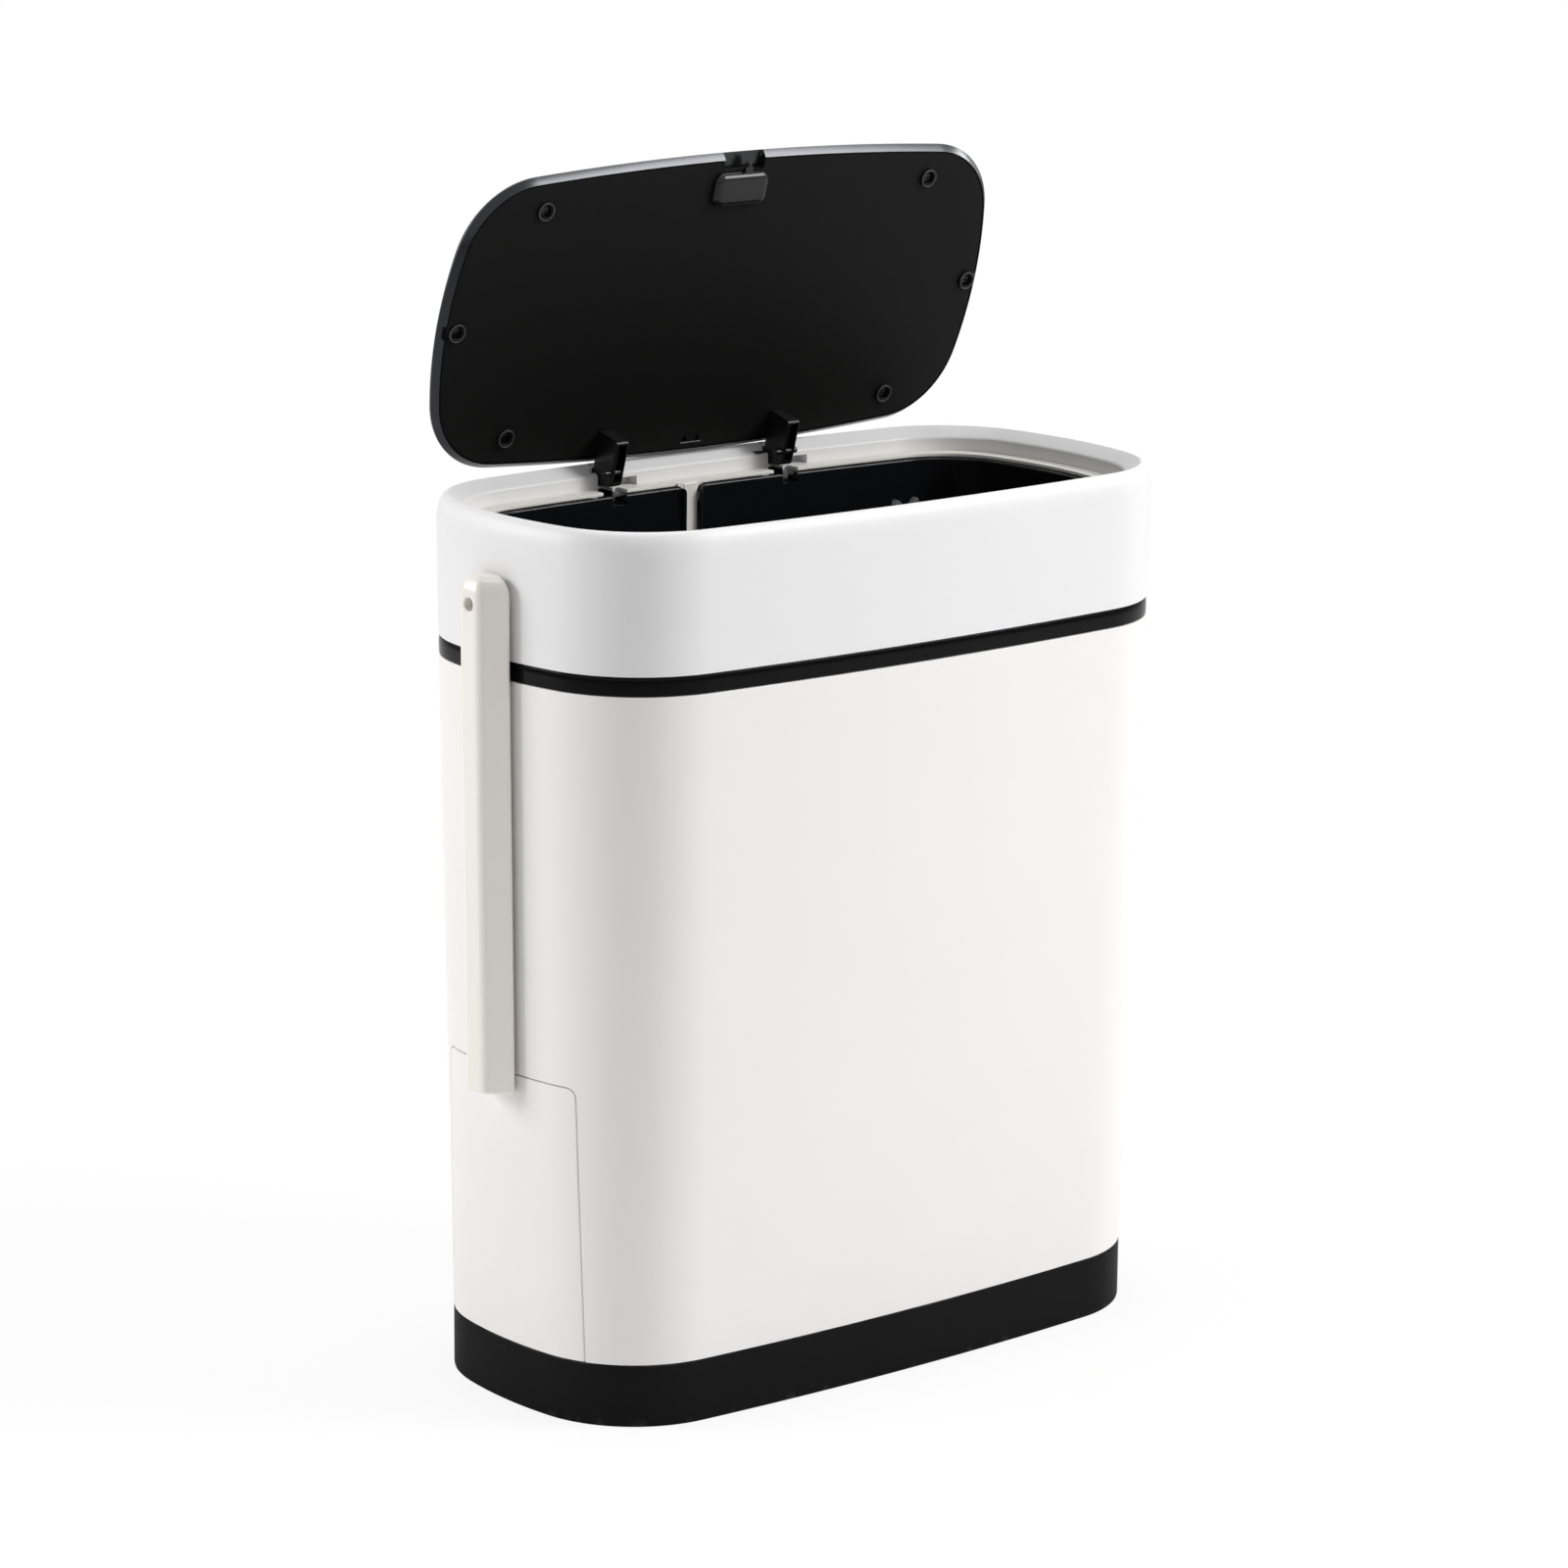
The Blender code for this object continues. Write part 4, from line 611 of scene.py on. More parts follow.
inner = SHELL_WALL + SEAT
upstand_top = BASE_HEIGHT + UPSTAND_HEIGHT
section = soften([
    (0.010, 0),
    (0, 0, 0.0014),
    (0, BASE_HEIGHT, 0.0007),
    (inner, BASE_HEIGHT),
    (inner, upstand_top),
    (inner + UPSTAND_WALL, upstand_top),
    (inner + UPSTAND_WALL, BASE_FLOOR, 0.0030),
    (0.030, BASE_FLOOR),
], 0.0005, closed=False)
base = swept("black_base", upright(section, closed=False), closed=False)
hand_over(base, base_finish, "base_black", "base", "base_plinth")

# %% [markdown]
# ## Shell and cover panel
# The shell is a plain white tube with an opening in its -X end for the brush, and the cover panel is cut
# from the same skin. Both are swept alike, then one is cut and the other kept by the same kind of cutter:
# a plug with the opening's outline. The plug flares where it meets the skin, which rounds the edges of
# the seam, so the seam catches a fine line of shade as the real one does.

# %% Opening of the brush bay
BAND_HEIGHT = 0.0080
BAND_BOTTOM = BAND_TOP - BAND_HEIGHT
SHELL_BOTTOM = BASE_HEIGHT + SEAT
SHELL_TOP = BAND_BOTTOM - SEAT
BAY_TOP = 0.1535
BAY_HALF_TOP = 0.0460
BAY_HALF_FOOT = 0.0484
BAY_CORNER = 0.0045
SEAM_EDGE = 0.00040
SEAM_GAP = 0.00050


def end_x(y, z, inset):
    """Place of the -X wall's skin at a width and a height, set in by an inset."""
    side, end, corner, end_turn, side_turn = body_arcs(z)
    radius = END_BOW - inset
    if abs(y) <= radius * math.sin(end_turn):
        return -(end.x + math.sqrt(radius ** 2 - y ** 2))
    radius = CORNER - inset
    return -(corner.x + math.sqrt(radius ** 2 - (abs(y) - corner.y) ** 2))


def bay_outline(offset, low):
    """Outline of the opening as (y, z), grown by an offset, with its foot at a height."""
    foot = BAY_HALF_FOOT + offset
    head = BAY_HALF_TOP + offset
    top = BAY_TOP + offset
    corner = BAY_CORNER + offset
    half = [(between(foot, head, k / 18), between(low, top - corner, k / 18)) for k in range(18)]
    half += arc((head - corner, top - corner), corner, 0, math.pi / 2, 8)
    half += [(between(head - corner, 0, k / 16), top) for k in range(17)]
    return half + [(-y, z) for y, z in reversed(half[:-1])]


def bay_plug(name, outer, inner, low):
    """Plug through the -X wall, from the outer to the inner offset just under the skin."""
    rings = [[(-0.176, y, z) for y, z in bay_outline(outer, low)]]
    rings.append([(end_x(y, z, -0.001), y, z) for y, z in bay_outline(outer, low)])
    reach = abs(outer - inner)
    for turn in quarter_turns(5, 1):
        flat = bay_outline(between(inner, outer, 1 - math.sin(turn)), low)
        rings.append([(end_x(y, z, reach * (1 - math.cos(turn))), y, z) for y, z in flat])
    rings.append([(end_x(y, z, SHELL_WALL + 0.001), y, z) for y, z in bay_outline(inner, low)])
    rings.append([(-0.115, y, z) for y, z in bay_outline(inner, low)])
    return solid(name, rings, closed=False)


print("bay opening:", round(2000 * BAY_HALF_FOOT, 1), "mm wide at its foot")

# %% Shell
corners = [(0, SHELL_BOTTOM), (0, SHELL_TOP), (SHELL_WALL, SHELL_TOP), (SHELL_WALL, SHELL_BOTTOM)]
wall = upright(soften(corners, 0.0004))
shell_finish = moulded("shell_plastic", WHITE, 0.50, 0.32, 0.0007, 0.000018, 0.012, 0.10)
shell = swept("white_shell", wall)
cut(shell, bay_plug("opening", SEAM_EDGE, 0.0, SHELL_BOTTOM - 0.003))
hand_over(shell, shell_finish, "shell_white", "base", "outer_shell")

# %% Cover panel
panel_finish = moulded("panel_plastic", WHITE, 0.50, 0.32, 0.0007, 0.000018, 0.012, 0.10)
panel = swept("bay_cover_panel", wall)
cut(panel, bay_plug("blank", -SEAM_GAP - SEAM_EDGE, -SEAM_GAP, SHELL_BOTTOM + SEAT), operation="INTERSECT")
SCREW_BORE = 0.0015
SCREW_PLACES_ON_PANEL = ((-0.0075, 0.1497), (0.0075, 0.1497))
for place in SCREW_PLACES_ON_PANEL:
    cut(panel, straight_hole(SCREW_BORE, -0.18, -0.15, place))
hand_over(panel, panel_finish, "shell_white", "brush", "brush_cover_panel")

# %% [markdown]
# ## Band
# A thin glossy black band fills the joint between the shell and the upper ring. In the photograph its
# reflection breaks along a line near its top, so its face isn't flat: the upper third leans in a little.

# %% Band
band_finish = moulded("band_gloss", (0.0026, 0.0026, 0.0030), 0.10, 0.075, 0.004, 0.000004, 0.05, 0.06)
section = soften([
    (0, BAND_BOTTOM, 0.0006),
    (0, BAND_TOP - 0.0026, 0.0003),
    (0.0004, BAND_TOP, 0.0004),
    (SHELL_WALL, BAND_TOP),
    (SHELL_WALL, BAND_BOTTOM),
], 0.0002)
band = swept("gloss_band", section)
hand_over(band, band_finish, "gloss_black", "base", "trim_band")

# %% [markdown]
# ## Liner of the brush bay
# Behind the cover panel the brush stands in a black liner. It is open towards -X, stands on four legs in
# the base, and its roof carries the small bin. It starts as a box that is trimmed to the inside of the shell.

# %% Bay liner
WELL_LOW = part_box("brush_well")[0]
WELL_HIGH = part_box("brush_well")[1]
WELL_WALL = 0.0020
WELL_FLOOR = 0.0320
WELL_LEG = 0.0140
WELL_FRONT_LEG_X = -0.1250
half = WELL_HIGH.y
liner = block("bay_liner", (-0.175, -half, WELL_LOW.z), (WELL_HIGH.x, half, WELL_HIGH.z))
inset = SHELL_WALL + UPSTAND_WALL + 2 * SEAT
room = swept("room", [(inset, 0), (inset, BASE_HEIGHT), (inset, BAND_BOTTOM)], closed=False)
cut(liner, room, operation="INTERSECT")
clear = half - WELL_WALL
under = WELL_FLOOR - WELL_WALL
far = WELL_HIGH.x - WELL_WALL
hollow = block("hollow", (-0.18, -clear, WELL_FLOOR), (far, clear, WELL_HIGH.z - WELL_WALL), 0.0030)
cellar = block("cellar", (-0.18, -clear, -0.01), (far, clear, under))
leg_x = WELL_HIGH.x - WELL_LEG
low = (WELL_FRONT_LEG_X, -half - 0.01, -0.01)
side_arch = block("side_arch", low, (leg_x, half + 0.01, under - WELL_WALL))
end_arch = block("end_arch", (leg_x - 0.01, WELL_LEG - half, -0.01), (0, half - WELL_LEG, under - WELL_WALL))
cut(liner, hollow, cellar, side_arch, end_arch)
liner_finish = moulded("liner_plastic", (0.016, 0.016, 0.017), 0.5, 0.3, 0.0010, 0.00002, 0.08, 0.10, 0.3)
hand_over(liner, liner_finish, "well_black", "base", "brush_well")

# %% [markdown]
# ## Upper ring
# The white ring carries the lid. Outside it has a generous round at its rim; inside, its mouth slopes down
# to a step where the lid's edge will lie, then drops to a lip. Its section is written corner by corner.
# Blocks are joined on for the hinges, and pockets, pin grooves and the place of the latch are cut.

# %% Ring section
RING_BOTTOM = BAND_TOP + SEAT
RIM_ROUND = 0.0050
RIM_DROP = 0.0115
RIM_FALL = 0.0038
RIM_STEP = 0.0010
MOUTH = 0.0127
RING_WALL = 0.0024
LEDGE_TOP = BODY_HEIGHT - 0.0107
LEDGE_BOTTOM = LEDGE_TOP - 0.0016
LIP_TOP = LEDGE_BOTTOM - SEAT
LIP_WIDTH = 0.0025
LIP_THICKNESS = 0.0018
INNER_WALL = 0.0022
TOP_THICKNESS = 0.0026
SPIGOT_WALL = 0.0022

step_z = BODY_HEIGHT - RIM_FALL
inner_face = MOUTH - INNER_WALL
inner_bottom = BODY_HEIGHT - 0.0220
roof_z = BODY_HEIGHT - RIM_FALL * (inner_face - RIM_ROUND) / (MOUTH - RIM_ROUND) - TOP_THICKNESS
spigot = SHELL_WALL + SEAT
spigot_foot = RING_BOTTOM - 0.0113
section = [(0, RING_BOTTOM, 0.0006)]
for turn in quarter_turns(12):
    section.append((RIM_ROUND * (1 - math.cos(turn)), BODY_HEIGHT - RIM_DROP * (1 - math.sin(turn))))
section += [
    (MOUTH - RIM_STEP, step_z, 0.0005),
    (MOUTH, step_z - RIM_STEP, 0.0004),
    (MOUTH, LIP_TOP, 0.0003),
    (MOUTH + LIP_WIDTH, LIP_TOP, 0.0004),
    (MOUTH + LIP_WIDTH, LIP_TOP - LIP_THICKNESS, 0.0004),
    (MOUTH, LIP_TOP - LIP_THICKNESS - LIP_WIDTH),
    (MOUTH, inner_bottom, 0.0004),
    (inner_face, inner_bottom, 0.0004),
    (inner_face, roof_z, 0.0008),
    (RIM_ROUND, BODY_HEIGHT - TOP_THICKNESS, 0.0008),
    (RING_WALL, BODY_HEIGHT - RIM_DROP, 0.0008),
    (RING_WALL, RING_BOTTOM + 0.0050 + SPIGOT_WALL),
    (spigot + SPIGOT_WALL, RING_BOTTOM + 0.0050),
    (spigot + SPIGOT_WALL, spigot_foot, 0.0004),
    (spigot, spigot_foot, 0.0006),
    (spigot, RING_BOTTOM, 0.0002),
]
rim_ring = swept("rim_ring", upright(soften(section, 0.0003)))

# %% Hinge pockets and latch place
PIVOT = Vector((0, 0.0772, 0.3951))
PIVOT_BACK = 0.0030
ARM_SPREAD = 0.0500
ARM_SHIFT = -0.0037
ARM_WIDTH = 0.0070
ARM_LENGTH = 0.0180
ARM_END = 0.0046
ARM_FOOT = 0.0010
ARM_DROP = 0.0112
ARM_GAP = 0.0008
PIN_RADIUS = 0.0017
PIN_HOLD = 0.0030
POCKET_LEFT = 0.0042
POCKET_RIGHT = 0.0030
POCKET_BOTTOM = PIVOT.z - math.hypot(ARM_DROP, ARM_FOOT) - ARM_GAP
BLOCK_WALL = 0.0040
BORE = PIN_RADIUS + SEAT
pivot = (PIVOT.y, PIVOT.z)
PEG_RADIUS = 0.0014
PEG_PLACE = (PIVOT.y - 0.0053, PIVOT.z - 0.0096)
PEG_GAP = 0.0004
LATCH_HALF_WIDTH = 0.0130
LATCH_DEPTH = 0.0065


def arm_middle(side):
    """Middle of a hinge arm along X."""
    return side * ARM_SPREAD + ARM_SHIFT


def pocket_span(side):
    """Both ends of a hinge pocket along X."""
    middle = arm_middle(side)
    return middle - ARM_WIDTH / 2 - POCKET_LEFT, middle + ARM_WIDTH / 2 + POCKET_RIGHT


def peg_span(side):
    """Both ends of a spring peg along X."""
    left, right = pocket_span(side)
    return left + 0.0007, right - 0.0006 if side > 0 else arm_middle(side) + ARM_WIDTH / 2 - 0.0010


def arm_room(side, left_gap, right_gap):
    """Room for a hinge arm to turn in, wider than the arm by a gap at each side."""
    left = arm_middle(side) - ARM_WIDTH / 2 - left_gap
    right = arm_middle(side) + ARM_WIDTH / 2 + right_gap
    low = (left, PIVOT.y - PIVOT_BACK - ARM_LENGTH - 0.0006, POCKET_BOTTOM)
    return block("arm_room", low, (right, PIVOT.y + ARM_END + 0.0005, BODY_HEIGHT + 0.002))


def latch_place(back_inset):
    """Room for the latch housing, from the ring's mouth inwards."""
    rim = half_sizes(LEDGE_TOP)[1]
    half = LATCH_HALF_WIDTH + SEAT
    low = (-half, -(rim - MOUTH + SEAT), 0.3600)
    return block("latch_place", low, (half, -(rim - back_inset), LEDGE_TOP + 0.002))


def peg_room(side):
    """Notch in the ring's lip, where a spring peg lies while the lid is closed."""
    left, right = peg_span(side)
    reach = PEG_RADIUS + PEG_GAP
    low = (left - PEG_GAP, PEG_PLACE[0] - 3 * reach, PEG_PLACE[1] - reach)
    return block("peg_room", low, (right + PEG_GAP, PEG_PLACE[0] + reach, LIP_TOP + 0.0010))


ALCOVE = 0.0150
ALCOVE_WALL = 0.0015
STUB = 0.0034
SLIT_HALF = 0.00145
wall_y = half_sizes(step_z)[1] - MOUTH
for side in (-1, 1):
    alcove_end = arm_middle(side) + ARM_WIDTH / 2 + ALCOVE
    low = (pocket_span(side)[0] - BLOCK_WALL, wall_y, POCKET_BOTTOM - BLOCK_WALL / 4)
    high = (alcove_end + ALCOVE_WALL, half_sizes(step_z)[1] - RING_WALL, step_z - RIM_STEP - 0.0008)
    cut(rim_ring, block("hinge_block", low, high), operation="UNION")
for side in (-1, 1):
    left, right = pocket_span(side)
    groove = straight_hole(BORE, left - PIN_HOLD - 0.0005, right + PIN_HOLD + 0.0005, pivot)
    reach = ARM_WIDTH / 2 + STUB
    low = (arm_middle(side) - reach, PIVOT.y - SLIT_HALF, PIVOT.z)
    slit = block("slit", low, (arm_middle(side) + reach, PIVOT.y + SLIT_HALF, BODY_HEIGHT + 0.002))
    low = (arm_middle(side), wall_y - 0.0060, LEDGE_TOP - 0.0002)
    high = (arm_middle(side) + ARM_WIDTH / 2 + ALCOVE, PIVOT.y + 0.0048, step_z - 0.0030)
    cut(rim_ring, arm_room(side, ARM_GAP, ARM_GAP), groove, slit, block("alcove", low, high), peg_room(side))
cut(rim_ring, latch_place(MOUTH + LATCH_DEPTH + 0.002))
ring_finish = moulded("ring_plastic", RING, 0.42, 0.36, 0.0007, 0.000012, 0.012, 0.10)
hand_over(rim_ring, ring_finish, "ring_white", "top_frame", "upper_ring")

# %% [markdown]
# Under each arm lies a small black tray, a dark sheet put there as painted shade. It fills the pocket's
# floor, stands up a little round its back, and hangs down in front of the ring's wall, where it darkens
# the view past the bins with painted shade.

# %% Hinge trays
TRAY_DROP = 0.0085
TRAY_FLOOR = 0.0007
TRAY_FRONT = 0.0096
TRAY_WALL = 0.0003
TRAY_WING = 0.0062
tray_top = POCKET_BOTTOM - 0.0001
# Painted shade: the black tray, apron and wing darken the pocket and the ring wall, which lie in shade.
pocket_shade_finish = moulded("painted_pocket_shade", (0.0060, 0.0060, 0.0064), 0.5, 0.08, 0.0008, 0.00001, 0.06, 0.08)
tray_foot = tray_top - TRAY_FLOOR
tray_back = PIVOT.y + 0.0049
tray_mouth = wall_y - 0.0010
half = ARM_WIDTH / 2 + 0.0006
wing_y = wall_y - LIP_WIDTH - 0.0003
for side, word in SIDES:
    left, right = pocket_span(side)
    middle = arm_middle(side)
    start = middle - half
    stop = middle + half
    low = (start, tray_mouth, tray_foot)
    tray = block("pocket_shade_tray_" + word, low, (stop, PIVOT.y + 0.0045, tray_top), 0.0002)
    wing_end = middle + ARM_WIDTH / 2 + TRAY_WING
    low = (left + 0.0004, PIVOT.y - TRAY_FRONT, tray_top - TRAY_DROP)
    apron = block("apron", low, (wing_end, wall_y - 0.0014, tray_top), 0.0003)
    low = (right - 0.0002 if side > 0 else stop + 0.0002, wing_y - TRAY_WALL, tray_foot)
    wing = block("wing", low, (wing_end, wing_y, LEDGE_BOTTOM - 0.0002))
    low = (start, tray_mouth, tray_top - TRAY_FLOOR / 2)
    walls = block("walls", low, (stop, tray_back, LEDGE_BOTTOM))
    low = (start + TRAY_WALL, tray_mouth - 0.0010, tray_foot)
    cut(walls, block("inside", low, (stop - TRAY_WALL, tray_back - TRAY_WALL, LEDGE_BOTTOM + 0.001)))
    cut(tray, apron, wing, walls, operation="UNION")
    hand_over(tray, pocket_shade_finish, "arm_black", "top_frame")

# %% [markdown]
# ## Frame that the bins hang under
# A thin ledge runs round inside the ring, and a strap dips down between the two bins to keep them apart.
# The strap is a bent strip: its side view is an outline with two round bends, given the strap's width.

# %% Ledge and strap
LEDGE_OUTER = MOUTH + SEAT
LEDGE_INNER = LEDGE_OUTER + 0.0080
STRAP_X = -0.0113
STRAP_WIDTH = 0.0082
STRAP_THICKNESS = 0.0022
STRAP_BEND = 0.0080
STRAP_FILLET = 0.0030
corners = [(LEDGE_OUTER, LEDGE_BOTTOM), (LEDGE_OUTER, LEDGE_TOP)]
corners += [(LEDGE_INNER, LEDGE_TOP), (LEDGE_INNER, LEDGE_BOTTOM)]
ledge = swept("bin_ledge", soften(corners, 0.0004))
reach = half_sizes(LEDGE_TOP)[1] - LEDGE_INNER + STRAP_THICKNESS / 3
top = LEDGE_TOP - 0.0004
bend = (reach - STRAP_BEND, LEDGE_TOP - 0.0460 + STRAP_BEND)
outside = [(reach, top)] + arc(bend, STRAP_BEND, 0, -math.pi / 2, 10, last=True)
inside = arc(bend, STRAP_BEND - STRAP_THICKNESS, -math.pi / 2, 0, 10, last=True)
inside.append((reach - STRAP_THICKNESS, top))
flat = outside + [(-y, z) for y, z in reversed(outside)] + [(-y, z) for y, z in reversed(inside)] + inside
strap = bevelled(prism("strap", flat, "x", STRAP_X, STRAP_WIDTH), 0.0008, 3, 50)


def strap_flare(gap, low):
    """Front view of the strap where it flares into the ledge, wider by a gap, from a height upwards."""
    half = STRAP_WIDTH / 2 + gap
    middle = (half + STRAP_FILLET - gap, LEDGE_BOTTOM - STRAP_FILLET)
    side = [(half, low)] + arc(middle, STRAP_FILLET - gap, math.pi, math.pi / 2, 8, last=True)
    side.append((side[-1][0], LEDGE_TOP - 0.0003 + gap * 20))
    return [(STRAP_X + x, z) for x, z in side + [(-x, z) for x, z in reversed(side)]]


fillets = []
for side in (-1, 1):
    middle = side * (reach - STRAP_THICKNESS / 2 + 0.0001)
    flat = strap_flare(0, LEDGE_BOTTOM - 0.006)
    fillets.append(prism("fillet", flat, "y", middle, STRAP_THICKNESS - 0.0006))
cut(ledge, strap, *fillets, operation="UNION")
for side in (-1, 1):
    cut(ledge, arm_room(side, POCKET_LEFT, POCKET_RIGHT))
cut(ledge, latch_place(LEDGE_OUTER + LATCH_DEPTH + SEAT))
# Painted shade: the frame's white plastic is tinted darker and warmer than the shell, for the shade it lies
# in.
shaded_frame_finish = moulded("painted_shade_frame", (0.81, 0.785, 0.735), 0.40, 0.4, 0.0007, 0.00001, 0.02, 0.10)
hand_over(ledge, shaded_frame_finish, "frame_white", "top_frame", "bin_frame")

# %% [markdown]
# ## Inner bins
# Both inner bins are thin glossy black mouldings with a bead round the rim and a scooped notch for the
# fingers, where they face each other. They follow the body's outline, set in, and end in a flat wall.

# %% Inner bins
BIN_TOP = LEDGE_BOTTOM - 0.0004
BIN_INSET = 0.0220
BIN_WALL = 0.0016
BIN_BEAD = 0.0015
BIN_CORNER = 0.0018
NOTCH_HALF = 0.0620
NOTCH_DEPTH = 0.0420


def bin_ring(z, inset, face_x, side):
    """Ring of a bin: the body's outline set in, and closed by a wall at face_x."""
    side_centre, end, corner, end_turn, side_turn = body_arcs(z)
    radius = SIDE_BOW - inset
    round_x = side * face_x + BIN_CORNER
    stop = math.acos(round_x / radius)
    stop_y = side_centre.y + radius * math.sin(stop)
    half = arc(end, END_BOW - inset, 0, end_turn, END_STEPS)
    half += arc(corner, CORNER - inset, end_turn, side_turn, CORNER_STEPS)
    half += arc(side_centre, radius, side_turn, stop, SIDE_STEPS)
    half += arc((round_x, stop_y - BIN_CORNER), BIN_CORNER, stop, math.pi, 10)
    half += [(side * face_x, between(stop_y - BIN_CORNER, 0, k / 10)) for k in range(11)]
    whole = half + [(x, -y) for x, y in reversed(half[1:-1])]
    if side < 0:
        whole = [(-x, y) for x, y in reversed(whole)]
    return [(x, y, z) for x, y in whole]


def inner_bin(name, bottom, side, face_x):
    """Inner bin with a flat wall at face_x, on the far side of it from the other bin."""
    bead = BIN_INSET - BIN_BEAD
    foot = BIN_INSET + 0.0015
    section = soften([
        (0.040, bottom),
        (foot, bottom, 0.0060),
        (BIN_INSET, BIN_TOP - 0.0030, 0.0003),
        (bead, BIN_TOP - 0.0030, 0.0004),
        (bead, BIN_TOP, 0.0007),
        (BIN_INSET + BIN_WALL, BIN_TOP, 0.0007),
        (foot + BIN_WALL, bottom + BIN_WALL, 0.0050),
        (0.040, bottom + BIN_WALL),
    ], 0.0005, closed=False, steps=5)
    section = upright(section, closed=False)
    rings = [bin_ring(z, inset, face_x + side * max(0.0, inset - BIN_INSET), side) for inset, z in section]
    made = solid(name, rings, closed=False)
    wide = 2 * BIN_WALL + BIN_BEAD
    low = (face_x - wide, -NOTCH_HALF, BIN_TOP - NOTCH_DEPTH)
    notch = block("notch", low, (face_x + wide, NOTCH_HALF, BIN_TOP + 0.02), 0.0030)
    return cut(made, notch, prism("flare", strap_flare(0.0005, BIN_TOP - 0.008), "y", 0, 0.2))


reach = STRAP_WIDTH / 2 + 0.0005
small_bin = inner_bin("small_inner_bin", WELL_HIGH.z + SEAT, -1, STRAP_X - reach)
large_bin = inner_bin("large_inner_bin", BASE_FLOOR + SEAT, 1, STRAP_X + reach)
cut(small_bin, arm_room(-1, ARM_GAP, ARM_GAP))
cut(large_bin, arm_room(1, ARM_GAP, ARM_GAP))
bin_finish = moulded("bin_gloss", (0.0050, 0.0054, 0.0064), 0.18, 0.25, 0.003, 0.000005, 0.06, 0.08, 0.10)
hand_over(small_bin, bin_finish, "bin_black", "small_bin", "small_bin")
hand_over(large_bin, bin_finish, "bin_black", "large_bin", "large_bin")

# %% [markdown]
# ## Metal parts
# Only the pins, springs and screws are steel. Drawn wire and turned heads show fine marks and a slightly
# cloudy polish, so the metal finish uses the same two noises as the plastic, with a sharper grain.

# %% Steel finishes
def steel(name, colour, roughness, stretch=(1.0, 1.0, 1.0)):
    """Steel with drawing marks and a cloudy polish."""
    finish = Finish(name)
    cloud = finish.noise(120.0, 3.0)
    drawn = finish.noise(1400.0, 2.0, stretch)
    finish.set(Base_Color=finish.blend(cloud, shade(colour, 0.82), shade(colour, 1.12)), Metallic=1.0)
    finish.set(Roughness=(cloud - 0.5) * 0.16 + (drawn - 0.5) * 0.12 + roughness)
    finish.bump(drawn, 0.000006)
    return finish


spring_finish = steel("spring_wire", (0.42, 0.42, 0.43), 0.30)
pin_finish = steel("pin_rod", (0.10, 0.10, 0.11), 0.34, (0.1, 1.0, 1.0))
screw_finish = steel("zinc_screw", (0.50, 0.50, 0.50), 0.32)
print("steel finishes are ready")

# %% [markdown]
# ## Hinge pins
# Each hinge turns on a short pin that lies in open grooves at both ends of its pocket. Its ends are
# rounded, as on any pin that is pushed into place, so it is turned from a profile.

# %% Hinge pins
PIN_EDGE = 0.0004
for side, word in SIDES:
    left, right = pocket_span(side)
    pin = rod("pin_rod_" + word, PIN_RADIUS, (left - PIN_HOLD, right + PIN_HOLD), PIN_EDGE, pivot)
    hand_over(pin, pin_finish, "pin_steel", "top_frame", "hinge_pin_" + word)

# %% [markdown]
# ## Push latch
# A small housing at the front of the ring holds a spring and a pair of smoke grey claws. Pressing the lid
# pushes the claws down, where they grip or let go of a tongue under the lid. At rest they stand up and lean
# slightly apart. Their side view is an outline with a thickness, like the strap.

# %% Latch housing
LATCH_WALL = 0.0012
LATCH_TOP = LEDGE_TOP + 0.0003
CLAW_HALF = 0.0090
CLAW_HEIGHT = 0.0120
CLAW_TRAVEL = 0.0050
SPRING_ROOM = 0.0045
latch_bottom = LATCH_TOP - 2 * LATCH_WALL - CLAW_HEIGHT - CLAW_TRAVEL - SPRING_ROOM
latch_outer = LEDGE_OUTER - half_sizes(LEDGE_TOP)[1]
latch_inner = latch_outer + LATCH_DEPTH
low = (-LATCH_HALF_WIDTH, latch_outer, latch_bottom)
housing = block("latch_body", low, (LATCH_HALF_WIDTH, latch_inner, LATCH_TOP), 0.0006)
room_half = CLAW_HALF + 0.0005
low = (-room_half, latch_outer + LATCH_WALL, latch_bottom + LATCH_WALL)
cut(housing, block("claw_room", low, (room_half, latch_inner - LATCH_WALL, LATCH_TOP + 0.002)))
latch_finish = moulded("latch_plastic", (0.014, 0.014, 0.0145), 0.40, 0.3, 0.0006, 0.00001, 0.06, 0.08)
hand_over(housing, latch_finish, "latch_black", "top_frame", "latch_housing")

# %% [markdown]
# The spring under the claws has to give way when they are pressed; a rigid coil would be cut by them.
# Here it is one coil on the top frame, standing on the housing's floor, with a mesh of its own.

# %% Latch spring
LATCH_WIRE = 0.0005
LATCH_COIL = 0.0015
LATCH_TURNS = 5
spring_y = (latch_outer + latch_inner) / 2
spring_foot = latch_bottom + LATCH_WALL + SEAT
spring_height = CLAW_TRAVEL + SPRING_ROOM - 2 * SEAT
span = (spring_foot + LATCH_WIRE / 2, spring_foot + spring_height - LATCH_WIRE / 2)
path = coil_path("z", span, (0, spring_y), LATCH_COIL, LATCH_TURNS)
spring = pipe("latch_coil", path, LATCH_WIRE / 2)
hand_over(spring, spring_finish, "spring_steel", "top_frame", "latch_spring")
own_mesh(spring)

